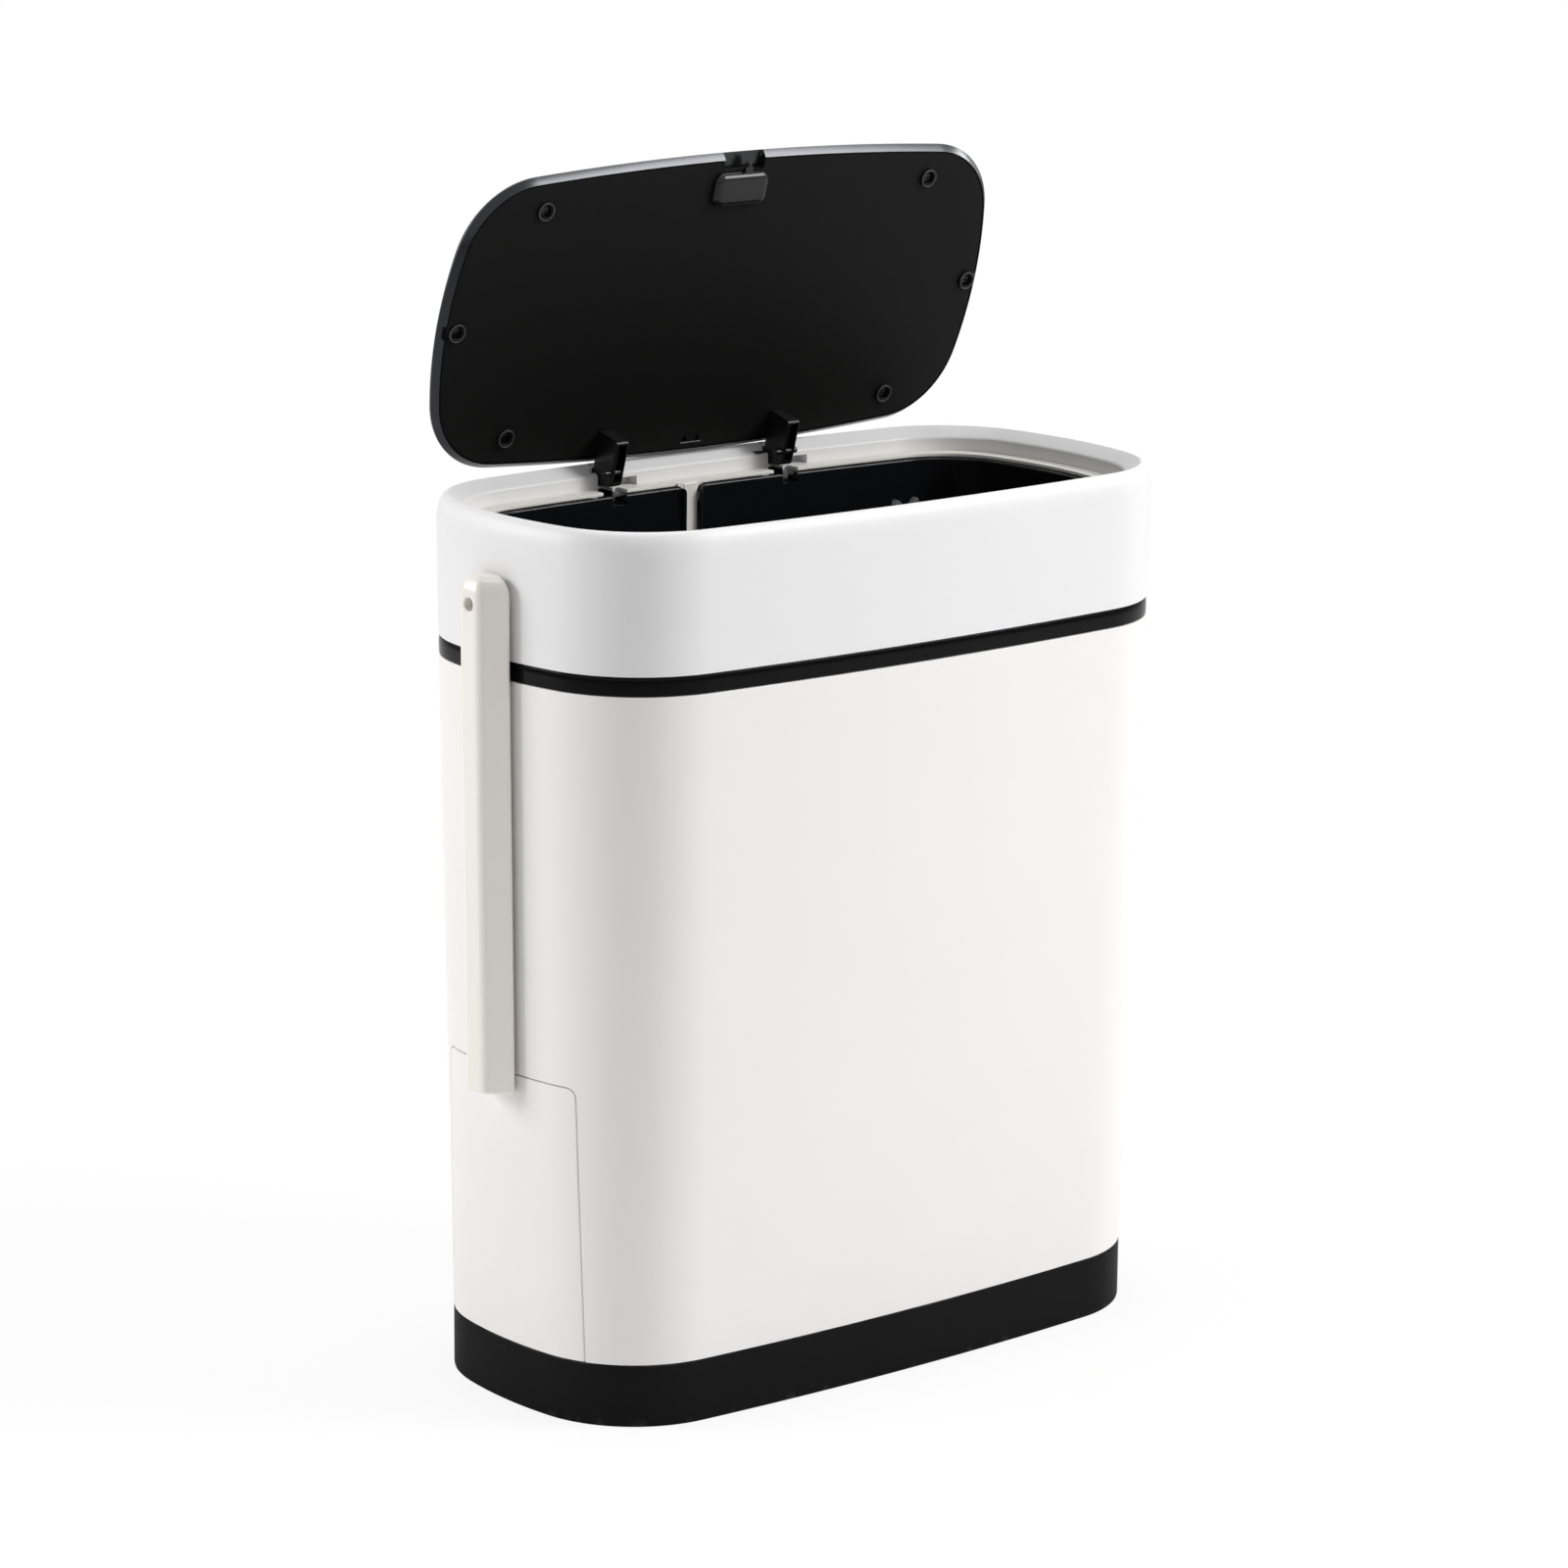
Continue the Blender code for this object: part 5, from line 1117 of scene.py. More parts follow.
# %% Latch claws
CLAW_SPACING = 0.0070
CLAW_WIDTH = 0.0026
CLAW_HOOK = 0.0007
CLAW_TIP = 0.0016
CLAW_LEAN = 0.20
LID_FACE = BODY_HEIGHT - 0.0021
claw_top = LID_FACE + 0.0021
body_top = LATCH_TOP - LATCH_WALL
near = (CLAW_SPACING - CLAW_WIDTH) / 2
far = (CLAW_SPACING + CLAW_WIDTH) / 2
corners = [
    (CLAW_HALF, body_top - CLAW_HEIGHT),
    (CLAW_HALF, body_top),
    (far, body_top),
    (far, claw_top - CLAW_TIP),
    (CLAW_SPACING / 2, claw_top),
    (near - CLAW_HOOK, claw_top - CLAW_TIP),
    (near - CLAW_HOOK, claw_top - 2 * CLAW_TIP),
    (near, claw_top - 3 * CLAW_TIP),
    (near, body_top),
]
leaning = [(x + max(0.0, z - body_top) * CLAW_LEAN, z) for x, z in corners]
flat = soften(leaning + [(-x, z) for x, z in reversed(leaning)], 0.0005, steps=2)
claw_depth = LATCH_DEPTH - 2 * LATCH_WALL - 0.0010
claws = prism("claw_pair", flat, "y", (latch_outer + latch_inner) / 2, claw_depth)
bevelled(claws, 0.0003)
claw_finish = moulded("smoke_acetal", (0.05, 0.05, 0.052), 0.30, 0.4, 0.0005, 0.000008, 0.06, 0.08)
hand_over(claws, claw_finish, "claw_smoke", "latch", "latch_claws")

# %% [markdown]
# ## Lid
# The lid is a glossy cover with a satin plate screwed inside it. It is easier to model a lid while it lies
# flat, so each of its pieces is made closed and then turned open about the hinge, as the hinge itself
# would do it. The photograph looks straight at the plate, so its rings and slots are all there.

# %% Lid helpers
OPEN_TURN = math.radians(-74)
LID_INSET = 0.0138
LID_HALF = (RIM_HALF[0] - LID_INSET, RIM_HALF[1] - LID_INSET)
LID_WALL = 0.0036
COVER_INSET = 0.0006
LID_ROUND = (0.0026, 0.0027)
LID_TOP = LID_FACE + 0.0054
LID_ROOF = LID_TOP - 0.0022
HINGE_TURN = Matrix.Translation(PIVOT) @ Matrix.Rotation(OPEN_TURN, 4, "X") @ Matrix.Translation(-PIVOT)


def lid_part(name, section):
    """Filled piece through rings of the lid's outline, from (inset, height) pairs."""
    rings = [[(x, y, z) for x, y in outline(BODY_HEIGHT, LID_INSET + inset)] for inset, z in section]
    return solid(name, rings, closed=False)


def opened(piece):
    """Turn a piece of the closed lid to where the open lid has it."""
    piece.data.transform(HINGE_TURN)
    return piece


def lid_depth(distance):
    """Place along Y on the closed lid at a distance from its hinge edge."""
    return LID_HALF[1] - distance


print("lid size in mm:", [round(2000 * v, 1) for v in LID_HALF])

# %% Lid screws' places
corner_screw = (LID_HALF[0] - 0.0465, LID_HALF[1] - 0.0201)
rows = (corner_screw, (LID_HALF[0] - 0.0090, 0), (corner_screw[0], -corner_screw[1]))
SCREW_PLACES = [(side * x, y) for x, y in rows for side in (-1, 1)]
HEAD_RADIUS = 0.0024
HEAD_HEIGHT = 0.0013
SHANK_RADIUS = 0.0010
RING_RADIUS = 0.0043
RING_RISE = 0.0012
RECESS_MIDDLE = -0.0015
RECESS_HALF = 0.0115
seat_z = LID_FACE + HEAD_HEIGHT
tip_z = LID_ROOF + 0.0009
ring_z = LID_FACE - RING_RISE
hole = HEAD_RADIUS + SEAT
drill = [(hole + 0.0003, ring_z - 0.002), (hole + 0.0003, ring_z), (hole, ring_z + 0.0003)]
drill += [(hole, seat_z + SEAT), (SHANK_RADIUS + SEAT, seat_z + SEAT), (SHANK_RADIUS + SEAT, tip_z + SEAT)]


def lid_recess():
    """Room for the claws at the lid's front edge."""
    low = (RECESS_MIDDLE - RECESS_HALF, -LID_HALF[1] - 0.002, LID_FACE - 0.002)
    high = (RECESS_MIDDLE + RECESS_HALF, 0.0084 - LID_HALF[1], LID_ROOF)
    return block("recess", low, high, 0.0008)


print("lid screws at:", [[round(1000 * v, 1) for v in place] for place in SCREW_PLACES])

# %% Lid cover
FACET_BULGE = 0.00006
wide, deep = LID_ROUND
facet_start = Vector((LID_WALL - 0.0004, LID_FACE))
facet_end = Vector((COVER_INSET, LID_TOP - deep))
bulge = Vector((facet_end.x - facet_start.x, facet_start.y - facet_end.y)).normalized() * FACET_BULGE
section = [(LID_WALL, LID_ROOF), (LID_WALL, LID_FACE + 0.0005), (LID_WALL - 0.0001, LID_FACE + 0.0001)]
for share in [k / 6 for k in range(7)]:
    section.append(tuple(facet_start.lerp(facet_end, share) + bulge * (4 * share * (1 - share))))
for turn in quarter_turns(10, 1):
    section.append((COVER_INSET + wide * (1 - math.cos(turn)), LID_TOP - deep * (1 - math.sin(turn))))
section += [(0.015, LID_TOP), (0.030, LID_TOP)]
cover = lid_part("lid_shell", section)
END_NOTCH = 0.0031
cut(cover, lid_recess(), *[turned("drill", drill, place) for place in SCREW_PLACES])
for side in (-1, 1):
    ends = sorted((side * (LID_HALF[0] + 0.002), side * (LID_HALF[0] - LID_WALL - 0.001)))
    high = (ends[1], END_NOTCH, LID_FACE + 0.0012)
    cut(cover, block("end_notch", (ends[0], -END_NOTCH, LID_FACE - 0.001), high, 0.0005))
lid_finish = moulded("lid_gloss", (0.0045, 0.0045, 0.005), 0.24, 0.44, 0.004, 0.000003, 0.05, 0.05)
lid_finish.set(Specular_Tint=(0.90, 0.92, 1.0, 1.0))
card_sees.objects.link(cover)
hand_over(opened(cover), lid_finish, "lid_gloss_black", "lid", "lid_cover")

# %% [markdown]
# The plate is cut and raised in the order that its mould tool would be made: its body, the screw rings on
# it, then every hole. Gaps at its long edges leave room for the clips that hold it in the cover.

# %% Lid plate
PLATE_INSET = LID_WALL + SEAT
plate_top = LID_ROOF - SEAT
CLIP_X = 0.1015
CLIP_REACH = 0.0036
SNAP_PLACES = (-0.0060, 0.0012)
SNAP_HALF = 0.0016
SNAP_HEIGHT = 0.0028
SNAP_Y = LID_HALF[1] - 0.0074
section = [(0.030, LID_FACE), (0.015, LID_FACE), (PLATE_INSET + 0.0006, LID_FACE)]
section += [(PLATE_INSET + 0.0002, LID_FACE + 0.0002), (PLATE_INSET, LID_FACE + 0.0006)]
section.append((PLATE_INSET, plate_top))
plate = lid_part("lid_panel", section)
ring_profile = [(RING_RADIUS - 0.0003, ring_z), (RING_RADIUS, ring_z + 0.0003), (RING_RADIUS, seat_z)]
cut(plate, *[turned("screw_ring", ring_profile, place) for place in SCREW_PLACES], operation="UNION")
tools = [turned("drill", drill, place) for place in SCREW_PLACES]
tools.append(lid_recess())
for side in (-1, 1):
    half = ARM_WIDTH / 2 + SEAT
    low = (arm_middle(side) - half, lid_depth(ARM_LENGTH) - SEAT, LID_FACE - 0.002)
    high = (arm_middle(side) + half, lid_depth(PLATE_INSET + LID_WALL) + SEAT, plate_top + 0.002)
    tools.append(block("arm_slot", low, high))
    for edge in (-1, 1):
        near_y = edge * (LID_HALF[1] - PLATE_INSET + 0.002)
        far_y = edge * (LID_HALF[1] - PLATE_INSET - 0.0014)
        low = (side * CLIP_X - CLIP_REACH, min(near_y, far_y), LID_FACE - 0.001)
        high = (side * CLIP_X + CLIP_REACH, max(near_y, far_y), LID_FACE + 0.0007)
        tools.append(block("clip_gap", low, high, 0.0003))
for x in SNAP_PLACES:
    ends = ((-1, 0), (1, 0), (0.2, 1), (-0.2, 1))
    flat = [(x + wide * SNAP_HALF, SNAP_Y - deep * SNAP_HEIGHT) for wide, deep in ends]
    tools.append(prism("snap_pocket", flat, "z", LID_FACE, 0.0024))
cut(plate, *tools)
plate_finish = moulded("plate_satin", (0.0078, 0.0077, 0.0076), 0.50, 0.06, 0.0006, 0.000012, 0.05, 0.08)
hand_over(opened(plate), plate_finish, "plate_black", "lid", "lid_inner_plate")

# %% Lid screws
SLOT = 0.0007
SLOT_REACH = 0.66


def cross_slot(axis, place, reach, span):
    """Cutter for the cross slot in a screw's head."""
    quarter = [(reach, SLOT / 2), (SLOT / 2, SLOT / 2), (SLOT / 2, reach)]
    spins = [Matrix.Rotation(turn * math.pi / 2, 2) for turn in range(4)]
    flat = [tuple(spin @ Vector(point) + Vector(place)) for spin in spins for point in quarter]
    return solid("cross_slot", [[along(axis, level, p) for p in flat] for level in span], closed=False)


profile = [(HEAD_RADIUS * 0.55, LID_FACE), (HEAD_RADIUS * 0.86, LID_FACE + 0.0002)]
profile += [(HEAD_RADIUS, LID_FACE + 0.0006), (HEAD_RADIUS, seat_z), (SHANK_RADIUS, seat_z)]
for k in range(1, 5):
    profile += [(SHANK_RADIUS - 0.0002, seat_z + 0.0005 * k), (SHANK_RADIUS, seat_z + 0.0005 * k + 0.00015)]
profile.append((SHANK_RADIUS * 0.4, tip_z))
black_screw = steel("black_screw", (0.045, 0.045, 0.047), 0.36)
for number, place in enumerate(SCREW_PLACES, 1):
    screw = turned(f"lid_fixing_{number}", profile, place, steps=24)
    cut(screw, cross_slot("z", place, HEAD_RADIUS * SLOT_REACH, (LID_FACE - 0.001, LID_FACE + SLOT)))
    hand_over(opened(screw), black_screw, "screw_black", "lid", f"lid_screw_{number}")

# %% [markdown]
# ## Striker
# Under the lid's front edge is a glossy hump, shaped like a small pillow, with a tongue that the claws grip.
# It is a stack of rounded rectangles that draw in along a quarter ellipse, so light rolls over its edges
# and leaves the bright line at the top that the photograph shows.

# %% Striker
STRIKER_HALF = 0.0153
STRIKER_MIDDLE = -0.0026
STRIKER_FRONT = 0.0084 + 0.0006 - LID_HALF[1]
STRIKER_BACK = STRIKER_FRONT + 0.0160
STRIKER_HEIGHT = 0.0034
STRIKER_ROUND = 0.0034
STRIKER_CORNER = 0.0046
seat = LID_FACE - SEAT


def rounded_ring(half_x, half_y, corner, centre, z):
    """Rounded rectangle at a height."""
    quarters = []
    for turn, (x, y) in enumerate(((1, 1), (-1, 1), (-1, -1), (1, -1))):
        middle = (centre[0] + x * (half_x - corner), centre[1] + y * (half_y - corner))
        quarters += arc(middle, corner, turn * math.pi / 2, (turn + 1) * math.pi / 2, 8, last=True)
    return [(x, y, z) for x, y in quarters]


middle_y = (STRIKER_FRONT + STRIKER_BACK) / 2
half_y = (STRIKER_BACK - STRIKER_FRONT) / 2
rings = []
for turn in quarter_turns(10):
    loss = STRIKER_ROUND * (1 - math.cos(turn))
    sizes = (STRIKER_HALF - loss, half_y - loss, STRIKER_CORNER - loss)
    rings.append(rounded_ring(*sizes, (STRIKER_MIDDLE, middle_y), seat - STRIKER_HEIGHT * math.sin(turn)))
striker = solid("striker_hump", rings, closed=False)
tongue_low = LID_FACE - 0.0022
tongue_y = LID_WALL + 0.0006 - LID_HALF[1]
steps = ((0.0016, tongue_y, tongue_low + 0.0008), (0.0010, tongue_y, tongue_low))
steps += ((0.0022, STRIKER_FRONT - 0.0024, tongue_low),)
for half, start, low_z in steps:
    cut(striker, block("tongue", (-half, start, low_z), (half, middle_y, seat), 0.0003), operation="UNION")
striker_finish = moulded("striker_gloss", (0.0060, 0.0060, 0.0066), 0.26, 0.30, 0.003, 0.000004, 0.05, 0.06)
hand_over(opened(striker), striker_finish, "striker_black", "lid", "lid_striker")

# %% [markdown]
# Each screw ring's edge carries a thin hoop in the lighter, glossier claw finish, laid on the plate:
# a painted highlight. The little rib beside the hinge is polished by the mould tool, so it is a wire in a
# glossier finish.

# %% Painted highlights on the screw rings, and the rib
HOOP_WIRE = 0.00035
RIB_REACH = (-0.0084, 0.0034)


def hoop(name, radius, wire, centre, z):
    """Closed ring of round wire."""
    rings = []
    for turn in [math.pi / 4 * k for k in range(8)]:
        flat = arc(centre, radius + wire * math.cos(turn), 0, 2 * math.pi, 40)
        rings.append([(x, y, z + wire * math.sin(turn)) for x, y in flat])
    return solid(name, rings)


for number, place in enumerate(SCREW_PLACES, 1):
    # Painted highlight: a lighter, glossier hoop on the edge of each screw ring.
    edge = hoop(f"ring_highlight_{number}", RING_RADIUS - HOOP_WIRE, HOOP_WIRE, place, ring_z)
    hand_over(opened(edge), claw_finish, "plate_black", "lid")
rib = pipe("snap_rib", [(x, SNAP_Y + 0.0008, LID_FACE) for x in RIB_REACH], 0.0005)
hand_over(opened(rib), striker_finish, "plate_black", "lid")

# %% [markdown]
# ## Hinge arms and torsion springs
# Each arm hangs under the lid and is hollowed to a channel, in which a torsion spring sits round the pin.
# The arm is one outline with a thickness; the channel is a second outline, cut from it.

# %% Hinge arms
ARM_BACK_WALL = 0.0015
CHANNEL_WIDTH = 0.0042
CHANNEL_SHIFT = 0.0004
back = lid_depth(ARM_LENGTH)
low = PIVOT.z - ARM_DROP
corner = (PIVOT.y + ARM_FOOT, low)
away = Vector((corner[0] - pivot[0], corner[1] - pivot[1]))
tangent = math.atan2(away.y, away.x) + math.acos(ARM_END / away.length)
cover_gap = lid_depth(-0.0006)
stop = math.pi - math.acos((PIVOT.y - cover_gap) / ARM_END)
foot_end = lid_depth(2 * LID_WALL + SEAT)
under = LID_FACE - SEAT
knee = [(back, plate_top), (back, low), corner, (pivot[0] + ARM_END, pivot[1])]
arm_flat = soften(knee, 0.0018, closed=False, steps=5)[:-1]
arm_flat += arc(pivot, ARM_END, tangent, stop, 20, last=True)
arm_flat += [(cover_gap, under), (foot_end, under), (foot_end, plate_top)]
channel_radius = ARM_END - ARM_BACK_WALL
channel_top = LID_FACE - ARM_BACK_WALL
channel_back = back + ARM_BACK_WALL
channel_stop = math.pi - math.asin((channel_top - PIVOT.z) / channel_radius)
channel_foot = PIVOT.y + ARM_FOOT - 2 * ARM_BACK_WALL
channel_flat = [(channel_back, channel_top), (channel_back, low - 0.002), (channel_foot, low - 0.002)]
channel_flat += arc(pivot, channel_radius, 0, channel_stop, 16, last=True)
arm_finish = moulded("arm_plastic", (0.0070, 0.0070, 0.0074), 0.34, 0.30, 0.0006, 0.00001, 0.05, 0.08)
for side, word in SIDES:
    middle = arm_middle(side)
    arm = bevelled(prism("arm_" + word, arm_flat, "x", middle, ARM_WIDTH), 0.0005, 3)
    hole = straight_hole(BORE, middle - ARM_WIDTH, middle + ARM_WIDTH, pivot)
    cut(arm, prism("channel", channel_flat, "x", middle + CHANNEL_SHIFT, CHANNEL_WIDTH), hole)
    peg = rod("spring_peg", PEG_RADIUS, peg_span(side), PEG_RADIUS * 0.4, PEG_PLACE, 20)
    cut(arm, peg, operation="UNION")
    hand_over(opened(arm), arm_finish, "arm_black", "lid", "hinge_arm_" + word)

# %% Torsion springs
COIL_WIRE = 0.0007
COIL_TURNS = 3
COIL_LEG = 0.0120
coil_radius = BORE + COIL_WIRE / 2
coil_length = COIL_TURNS * (COIL_WIRE + SEAT / 2)
for side, word in SIDES:
    span = (arm_middle(side) - coil_length / 2, arm_middle(side) + coil_length / 2)
    path = coil_path("x", span, pivot, coil_radius, COIL_TURNS)
    path.insert(0, (path[0][0], path[0][1] - COIL_LEG, path[0][2]))
    spring = pipe("torsion_coil_" + word, path, COIL_WIRE / 2)
    hand_over(opened(spring), spring_finish, "spring_steel", "lid", "hinge_spring_" + word)

# %% [markdown]
# ## Brush handle
# The handle is a warm white bar up the -X end. It has a wide flat back, slanted flanks and a narrow soft
# front; its top is rounded and carries a hole to hang it by. Its section is worked out at each height and
# the sections are joined, which keeps the soft front edge even where the top closes.

# %% Handle sections
HANDLE_BOTTOM = BAY_TOP - 0.0085
HANDLE_TOP = BODY_HEIGHT - 0.0250
BACK_HALF = 0.0145
FRONT_HALF = 0.0085
HANDLE_DEPTH = 0.0122
STAND_OFF = 0.0021
FRONT_ROUND = 0.0047
BACK_ROUND = 0.0016
TOP_ROUND = 0.0090
FOOT_ROUND = 0.0022


def handle_ring(z, share=1.0, front_loss=0.0):
    """Section of the handle at a height, narrowed by a share and set back at its front."""
    back = -(half_sizes(z)[0] + STAND_OFF)
    front = back - HANDLE_DEPTH + front_loss
    wide = BACK_HALF * share
    narrow = FRONT_HALF * share
    slant = math.pi / 2 + math.atan2(wide - narrow, back - front)
    soft = FRONT_ROUND * share
    half = [(front, (narrow - soft) * k / 4) for k in range(4)]
    half += arc((front + soft, narrow - soft), soft, math.pi, slant, 10, last=True)
    half += arc((back - BACK_ROUND, wide - BACK_ROUND), BACK_ROUND, slant, 0, 6, last=True)
    return [(x, y, z) for x, y in half + [(x, -y) for x, y in reversed(half[1:])]]


rings = []
for turn in reversed(quarter_turns(6, 1)):
    loss = FOOT_ROUND * (1 - math.cos(turn))
    rings.append(handle_ring(HANDLE_BOTTOM + FOOT_ROUND * (1 - math.sin(turn)), 1 - loss / BACK_HALF, loss))
low = HANDLE_BOTTOM + FOOT_ROUND
high = HANDLE_TOP - TOP_ROUND
rings += [handle_ring(between(low, high, k / 10)) for k in range(10)]
for turn in quarter_turns(14):
    loss = TOP_ROUND * (1 - math.cos(turn))
    share = 1 - loss / BACK_HALF
    rings.append(handle_ring(high + TOP_ROUND * math.sin(turn), share, loss * FRONT_ROUND / TOP_ROUND))
print("handle sections:", len(rings))

# %% Handle
handle = solid("white_handle", rings, closed=False)
back = -(BAND_HALF[0] + STAND_OFF)
pad_top = HANDLE_TOP - 0.0030
low = (back - 0.002, -0.0070, pad_top - 0.0200)
pad = block("pad", low, (-BAND_HALF[0] - SEAT, 0.0070, pad_top), 0.0003)
face = -half_sizes(BAY_TOP)[0] - SEAT
foot_low = HANDLE_BOTTOM + FOOT_ROUND / 2
foot = block("foot", (face - STAND_OFF - 0.002, -0.0110, foot_low), (face, 0.0110, foot_low + 0.0072), 0.0003)
cut(handle, pad, foot, operation="UNION")
HOLE = 0.00285
hole_centre = (0, HANDLE_TOP - 0.0120)
front = back - HANDLE_DEPTH
profile = [(HOLE + 0.0020, front - 0.001), (HOLE + 0.0007, front), (HOLE + 0.0002, front + 0.0004)]
profile += [(HOLE, front + 0.0010), (HOLE, 0.002 - BAND_HALF[0])]
tools = [turned("hanging_hole", profile, hole_centre, "x")]
tools += [straight_hole(SCREW_BORE, face - 0.0053, face + 0.004, place) for place in SCREW_PLACES_ON_PANEL]
cut(handle, *tools)
handle_finish = moulded("handle_plastic", (0.84, 0.805, 0.755), 0.24, 0.5, 0.0008, 0.00001, 0.015, 0.12)
hand_over(handle, handle_finish, "handle_white", "brush", "brush_handle")

# %% [markdown]
# ## Brush head
# Behind the cover panel a bracket holds the head: a flange, a rib and a collar round the core's neck. Two
# steel screws clamp handle, panel and bracket together. The tufts are real bristles, a few hundred small
# bundles that splay a little; a fixed seed makes the same brush on each run.

# %% Bracket
HEAD_AXIS_X = 0.0531 - FOOT_HALF[0]
HEAD_TOP = BAY_TOP - 0.0315
HEAD_BOTTOM = WELL_FLOOR + 0.0180
NECK = 0.0060
NECK_HEIGHT = 0.0130
COLLAR_WALL = 0.0025
flange_top = BAY_TOP - 0.0012
flange_bottom = flange_top - 0.0300
flange_half = 0.0130
end_fall = END_BOW - math.sqrt(END_BOW ** 2 - flange_half ** 2)
flange_face = -half_sizes(flange_bottom)[0] + SHELL_WALL + SEAT + end_fall
flange_inner = flange_face + 0.0025
collar_top = HEAD_TOP + NECK_HEIGHT + SEAT + COLLAR_WALL
head_axis = (HEAD_AXIS_X, 0)
low = (flange_face, -flange_half, flange_bottom)
bracket = block("head_bracket", low, (flange_inner, flange_half, flange_top), 0.0008)
low = (flange_inner - 0.00125, -0.0040, collar_top - 0.0100)
rib = block("rib", low, (HEAD_AXIS_X, 0.0040, collar_top - SEAT), 0.0006)
collar_radius = NECK + SEAT + COLLAR_WALL
collar_profile = [(collar_radius - 0.0004, HEAD_TOP + SEAT), (collar_radius, HEAD_TOP + SEAT + 0.0004)]
collar_profile += [(collar_radius, collar_top - 0.0012), (collar_radius - 0.0012, collar_top)]
collar = turned("collar", collar_profile, head_axis, steps=48)
cut(bracket, rib, collar, operation="UNION")
tools = [straight_hole(NECK + SEAT, HEAD_TOP - 0.002, collar_top - COLLAR_WALL, head_axis, "z", 48)]
for place in SCREW_PLACES_ON_PANEL:
    tools.append(straight_hole(SCREW_BORE, flange_face - 0.002, flange_inner + 0.002, place))
cut(bracket, *tools)
bracket_finish = moulded("bracket_plastic", (0.78, 0.77, 0.74), 0.44, 0.4, 0.0008, 0.000012, 0.02, 0.10)
hand_over(bracket, bracket_finish, "bracket_white", "brush", "brush_head_bracket")

# %% Panel screws
PANEL_HEAD = 0.0022
PANEL_SHANK = 0.0012
THREAD_PITCH = 0.0008
screw_seat = flange_inner + SEAT
screw_tip = face - 0.0050
profile = [(PANEL_SHANK * 0.4, screw_tip)]
threads = int((screw_seat - screw_tip) / THREAD_PITCH)
for k in range(1, threads):
    crest = screw_tip + THREAD_PITCH * k
    profile += [(PANEL_SHANK - 0.0002, crest), (PANEL_SHANK, crest + 0.0003)]
profile += [(PANEL_SHANK, screw_seat), (PANEL_HEAD, screw_seat), (PANEL_HEAD, screw_seat + 0.0009)]
profile += [(PANEL_HEAD * 0.86, screw_seat + 0.0014), (PANEL_HEAD * 0.55, screw_seat + 0.0016)]
for place, word in zip(SCREW_PLACES_ON_PANEL, ("front", "back")):
    screw = turned("panel_fixing_" + word, profile, place, "x", 24)
    cut(screw, cross_slot("x", place, PANEL_HEAD * SLOT_REACH, (screw_seat + 0.0008, screw_seat + 0.003)))
    hand_over(screw, screw_finish, "screw_steel", "brush", "panel_screw_" + word)

# %% Head core
HEAD_RADIUS = 0.0120
CORE_RADIUS = 0.0095
HEAD_DOME = 0.0080
SLEEVE_FLOOR = 0.0024
shoulder = HEAD_TOP - 0.0020
core_bottom = HEAD_BOTTOM + SLEEVE_FLOOR + SEAT
core_dome = HEAD_DOME - SLEEVE_FLOOR
profile = [
    (CORE_RADIUS - core_dome, core_bottom),
    (CORE_RADIUS, core_bottom + core_dome),
    (CORE_RADIUS, shoulder),
    (HEAD_RADIUS - 0.0004, shoulder),
    (HEAD_RADIUS, shoulder + 0.0004),
    (HEAD_RADIUS, HEAD_TOP - 0.0005),
    (HEAD_RADIUS - 0.0005, HEAD_TOP),
    (NECK, HEAD_TOP),
    (NECK, HEAD_TOP + NECK_HEIGHT - 0.0006),
    (NECK - 0.0006, HEAD_TOP + NECK_HEIGHT),
]
core = turned("head_core", profile, head_axis, steps=48)
core_finish = moulded("core_plastic", (0.78, 0.78, 0.76), 0.42, 0.4, 0.0008, 0.000012, 0.02, 0.10)
hand_over(core, core_finish, "bristle_white", "brush", "brush_head_core")

# %% Bristles
TUFT_COLUMNS = 18
TUFT_ROWS = 15
STRANDS = 8
STRAND_STEPS = 4
STRAND_RADIUS = (0.00030, 0.00020)
BRISTLE_REACH = 0.0376
TUFT_SPREAD = 0.0008
random.seed(7)
bore = CORE_RADIUS + SEAT
sleeve_top = shoulder - SEAT
knee = HEAD_BOTTOM + HEAD_DOME
profile = [(bore - core_dome, HEAD_BOTTOM + SLEEVE_FLOOR), (bore, core_bottom + core_dome - SEAT)]
profile += [(bore, sleeve_top), (HEAD_RADIUS, sleeve_top), (HEAD_RADIUS, knee)]
for turn in quarter_turns(6, 1):
    profile.append((HEAD_RADIUS - HEAD_DOME * (1 - math.cos(turn)), knee - HEAD_DOME * math.sin(turn)))
sleeve = turned("white_bristles", profile, head_axis, steps=54)


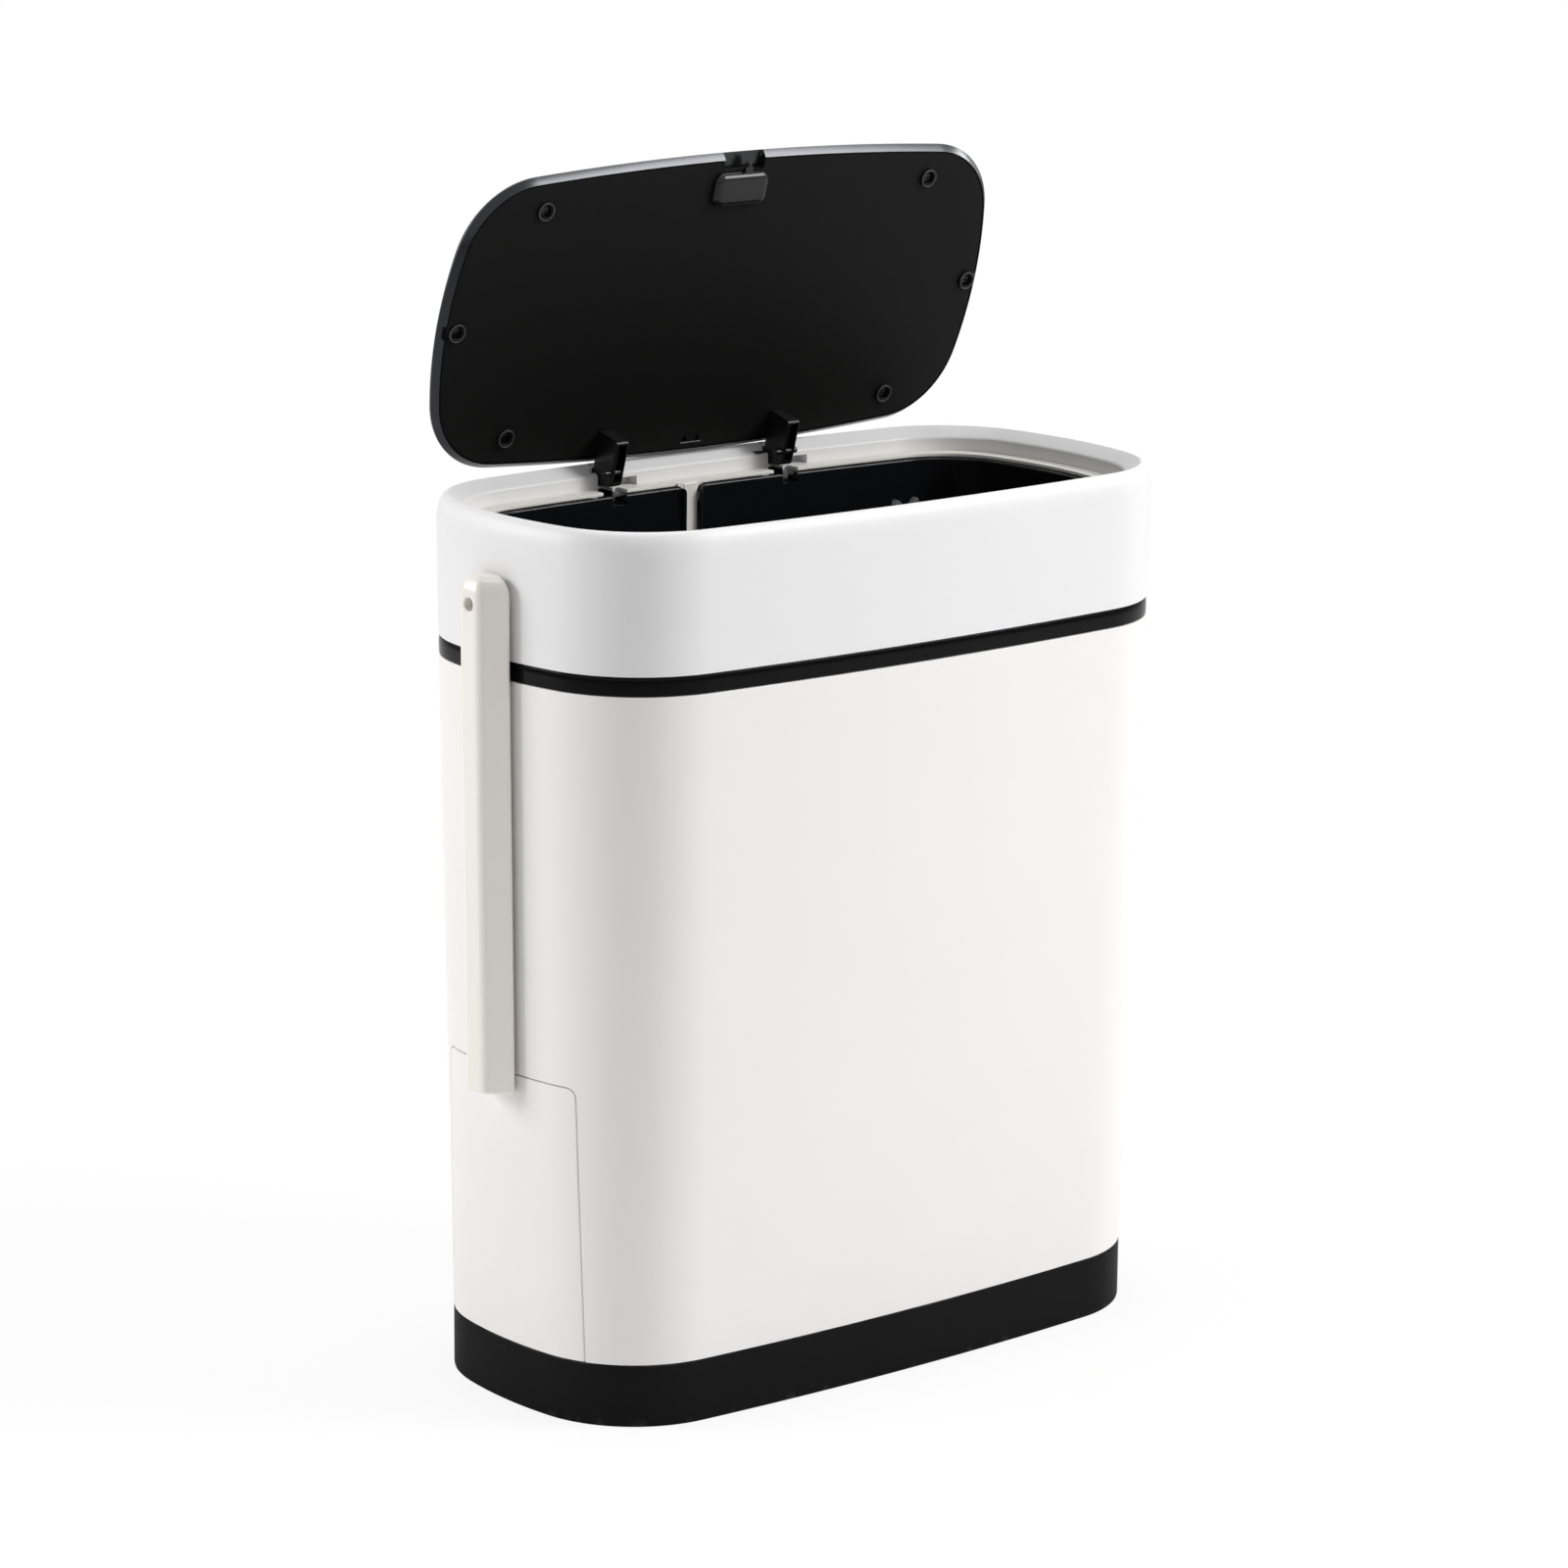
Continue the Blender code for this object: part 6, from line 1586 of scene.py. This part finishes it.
def strand(mesh, root, way, length, sag):
    """One bristle: a thin tapered rod that bends a little."""
    side = way.orthogonal().normalized()
    other = way.cross(side)
    loops = []
    for k in range(STRAND_STEPS + 1):
        t = k / STRAND_STEPS
        centre = root + way * length * t + sag * t * t
        radius = between(*STRAND_RADIUS, t)
        turns = [math.pi / 2 * q for q in range(4)]
        spokes = [side * math.cos(a) + other * math.sin(a) for a in turns]
        loops.append([mesh.verts.new(centre + spoke * radius) for spoke in spokes])
    for near_loop, far_loop in zip(loops, loops[1:]):
        for q in range(4):
            mesh.faces.new((near_loop[q], near_loop[q - 3], far_loop[q - 3], far_loop[q]))
    mesh.faces.new(loops[0][::-1])
    mesh.faces.new(loops[-1])


def tuft(mesh, radius, z, turn, tilt, reach):
    """A bundle of bristles that starts on the sleeve and splays a little."""
    out = Vector((math.cos(turn) * math.cos(tilt), math.sin(turn) * math.cos(tilt), -math.sin(tilt)))
    root = Vector((HEAD_AXIS_X + radius * math.cos(turn), radius * math.sin(turn), z)) - out * 0.0006
    for _ in range(STRANDS):
        shift = Vector([random.uniform(-1, 1) for _ in range(3)]) * TUFT_SPREAD
        shift -= out * shift.dot(out)
        splay = Vector([random.uniform(-1, 1) for _ in range(3)]) * 0.05
        way = (out + shift * 30 + splay).normalized()
        sag = Vector([random.uniform(-1, 1) for _ in range(3)]) * 0.0010
        strand(mesh, root + shift, way, reach * random.uniform(0.955, 0.985), sag)


bm = bmesh.new()
bm.from_mesh(sleeve.data)
full = BRISTLE_REACH - HEAD_RADIUS
for row in range(TUFT_ROWS):
    z = between(sleeve_top, knee, (row + 0.5) / TUFT_ROWS)
    for column in range(TUFT_COLUMNS):
        tuft(bm, HEAD_RADIUS, z, 2 * math.pi * (column + 0.5 * (row % 2)) / TUFT_COLUMNS, 0.0, full)
for share, middle_turn in ((0.85, 0.5), (0.62, 1.5)):
    tilt = math.pi / 2 * middle_turn / 3
    radius = HEAD_RADIUS - HEAD_DOME * (1 - math.cos(tilt))
    z = knee - HEAD_DOME * math.sin(tilt)
    for column in range(TUFT_COLUMNS):
        tuft(bm, radius, z, 2 * math.pi * column / TUFT_COLUMNS, tilt, full * share)
bm.to_mesh(sleeve.data)
bm.free()
bristle_finish = moulded("bristle_nylon", (0.85, 0.85, 0.83), 0.5, 0.4, 0.0010, 0.00001, 0.03, 0.10)
hand_over(sleeve, bristle_finish, "bristle_white", "brush", "brush_bristles")
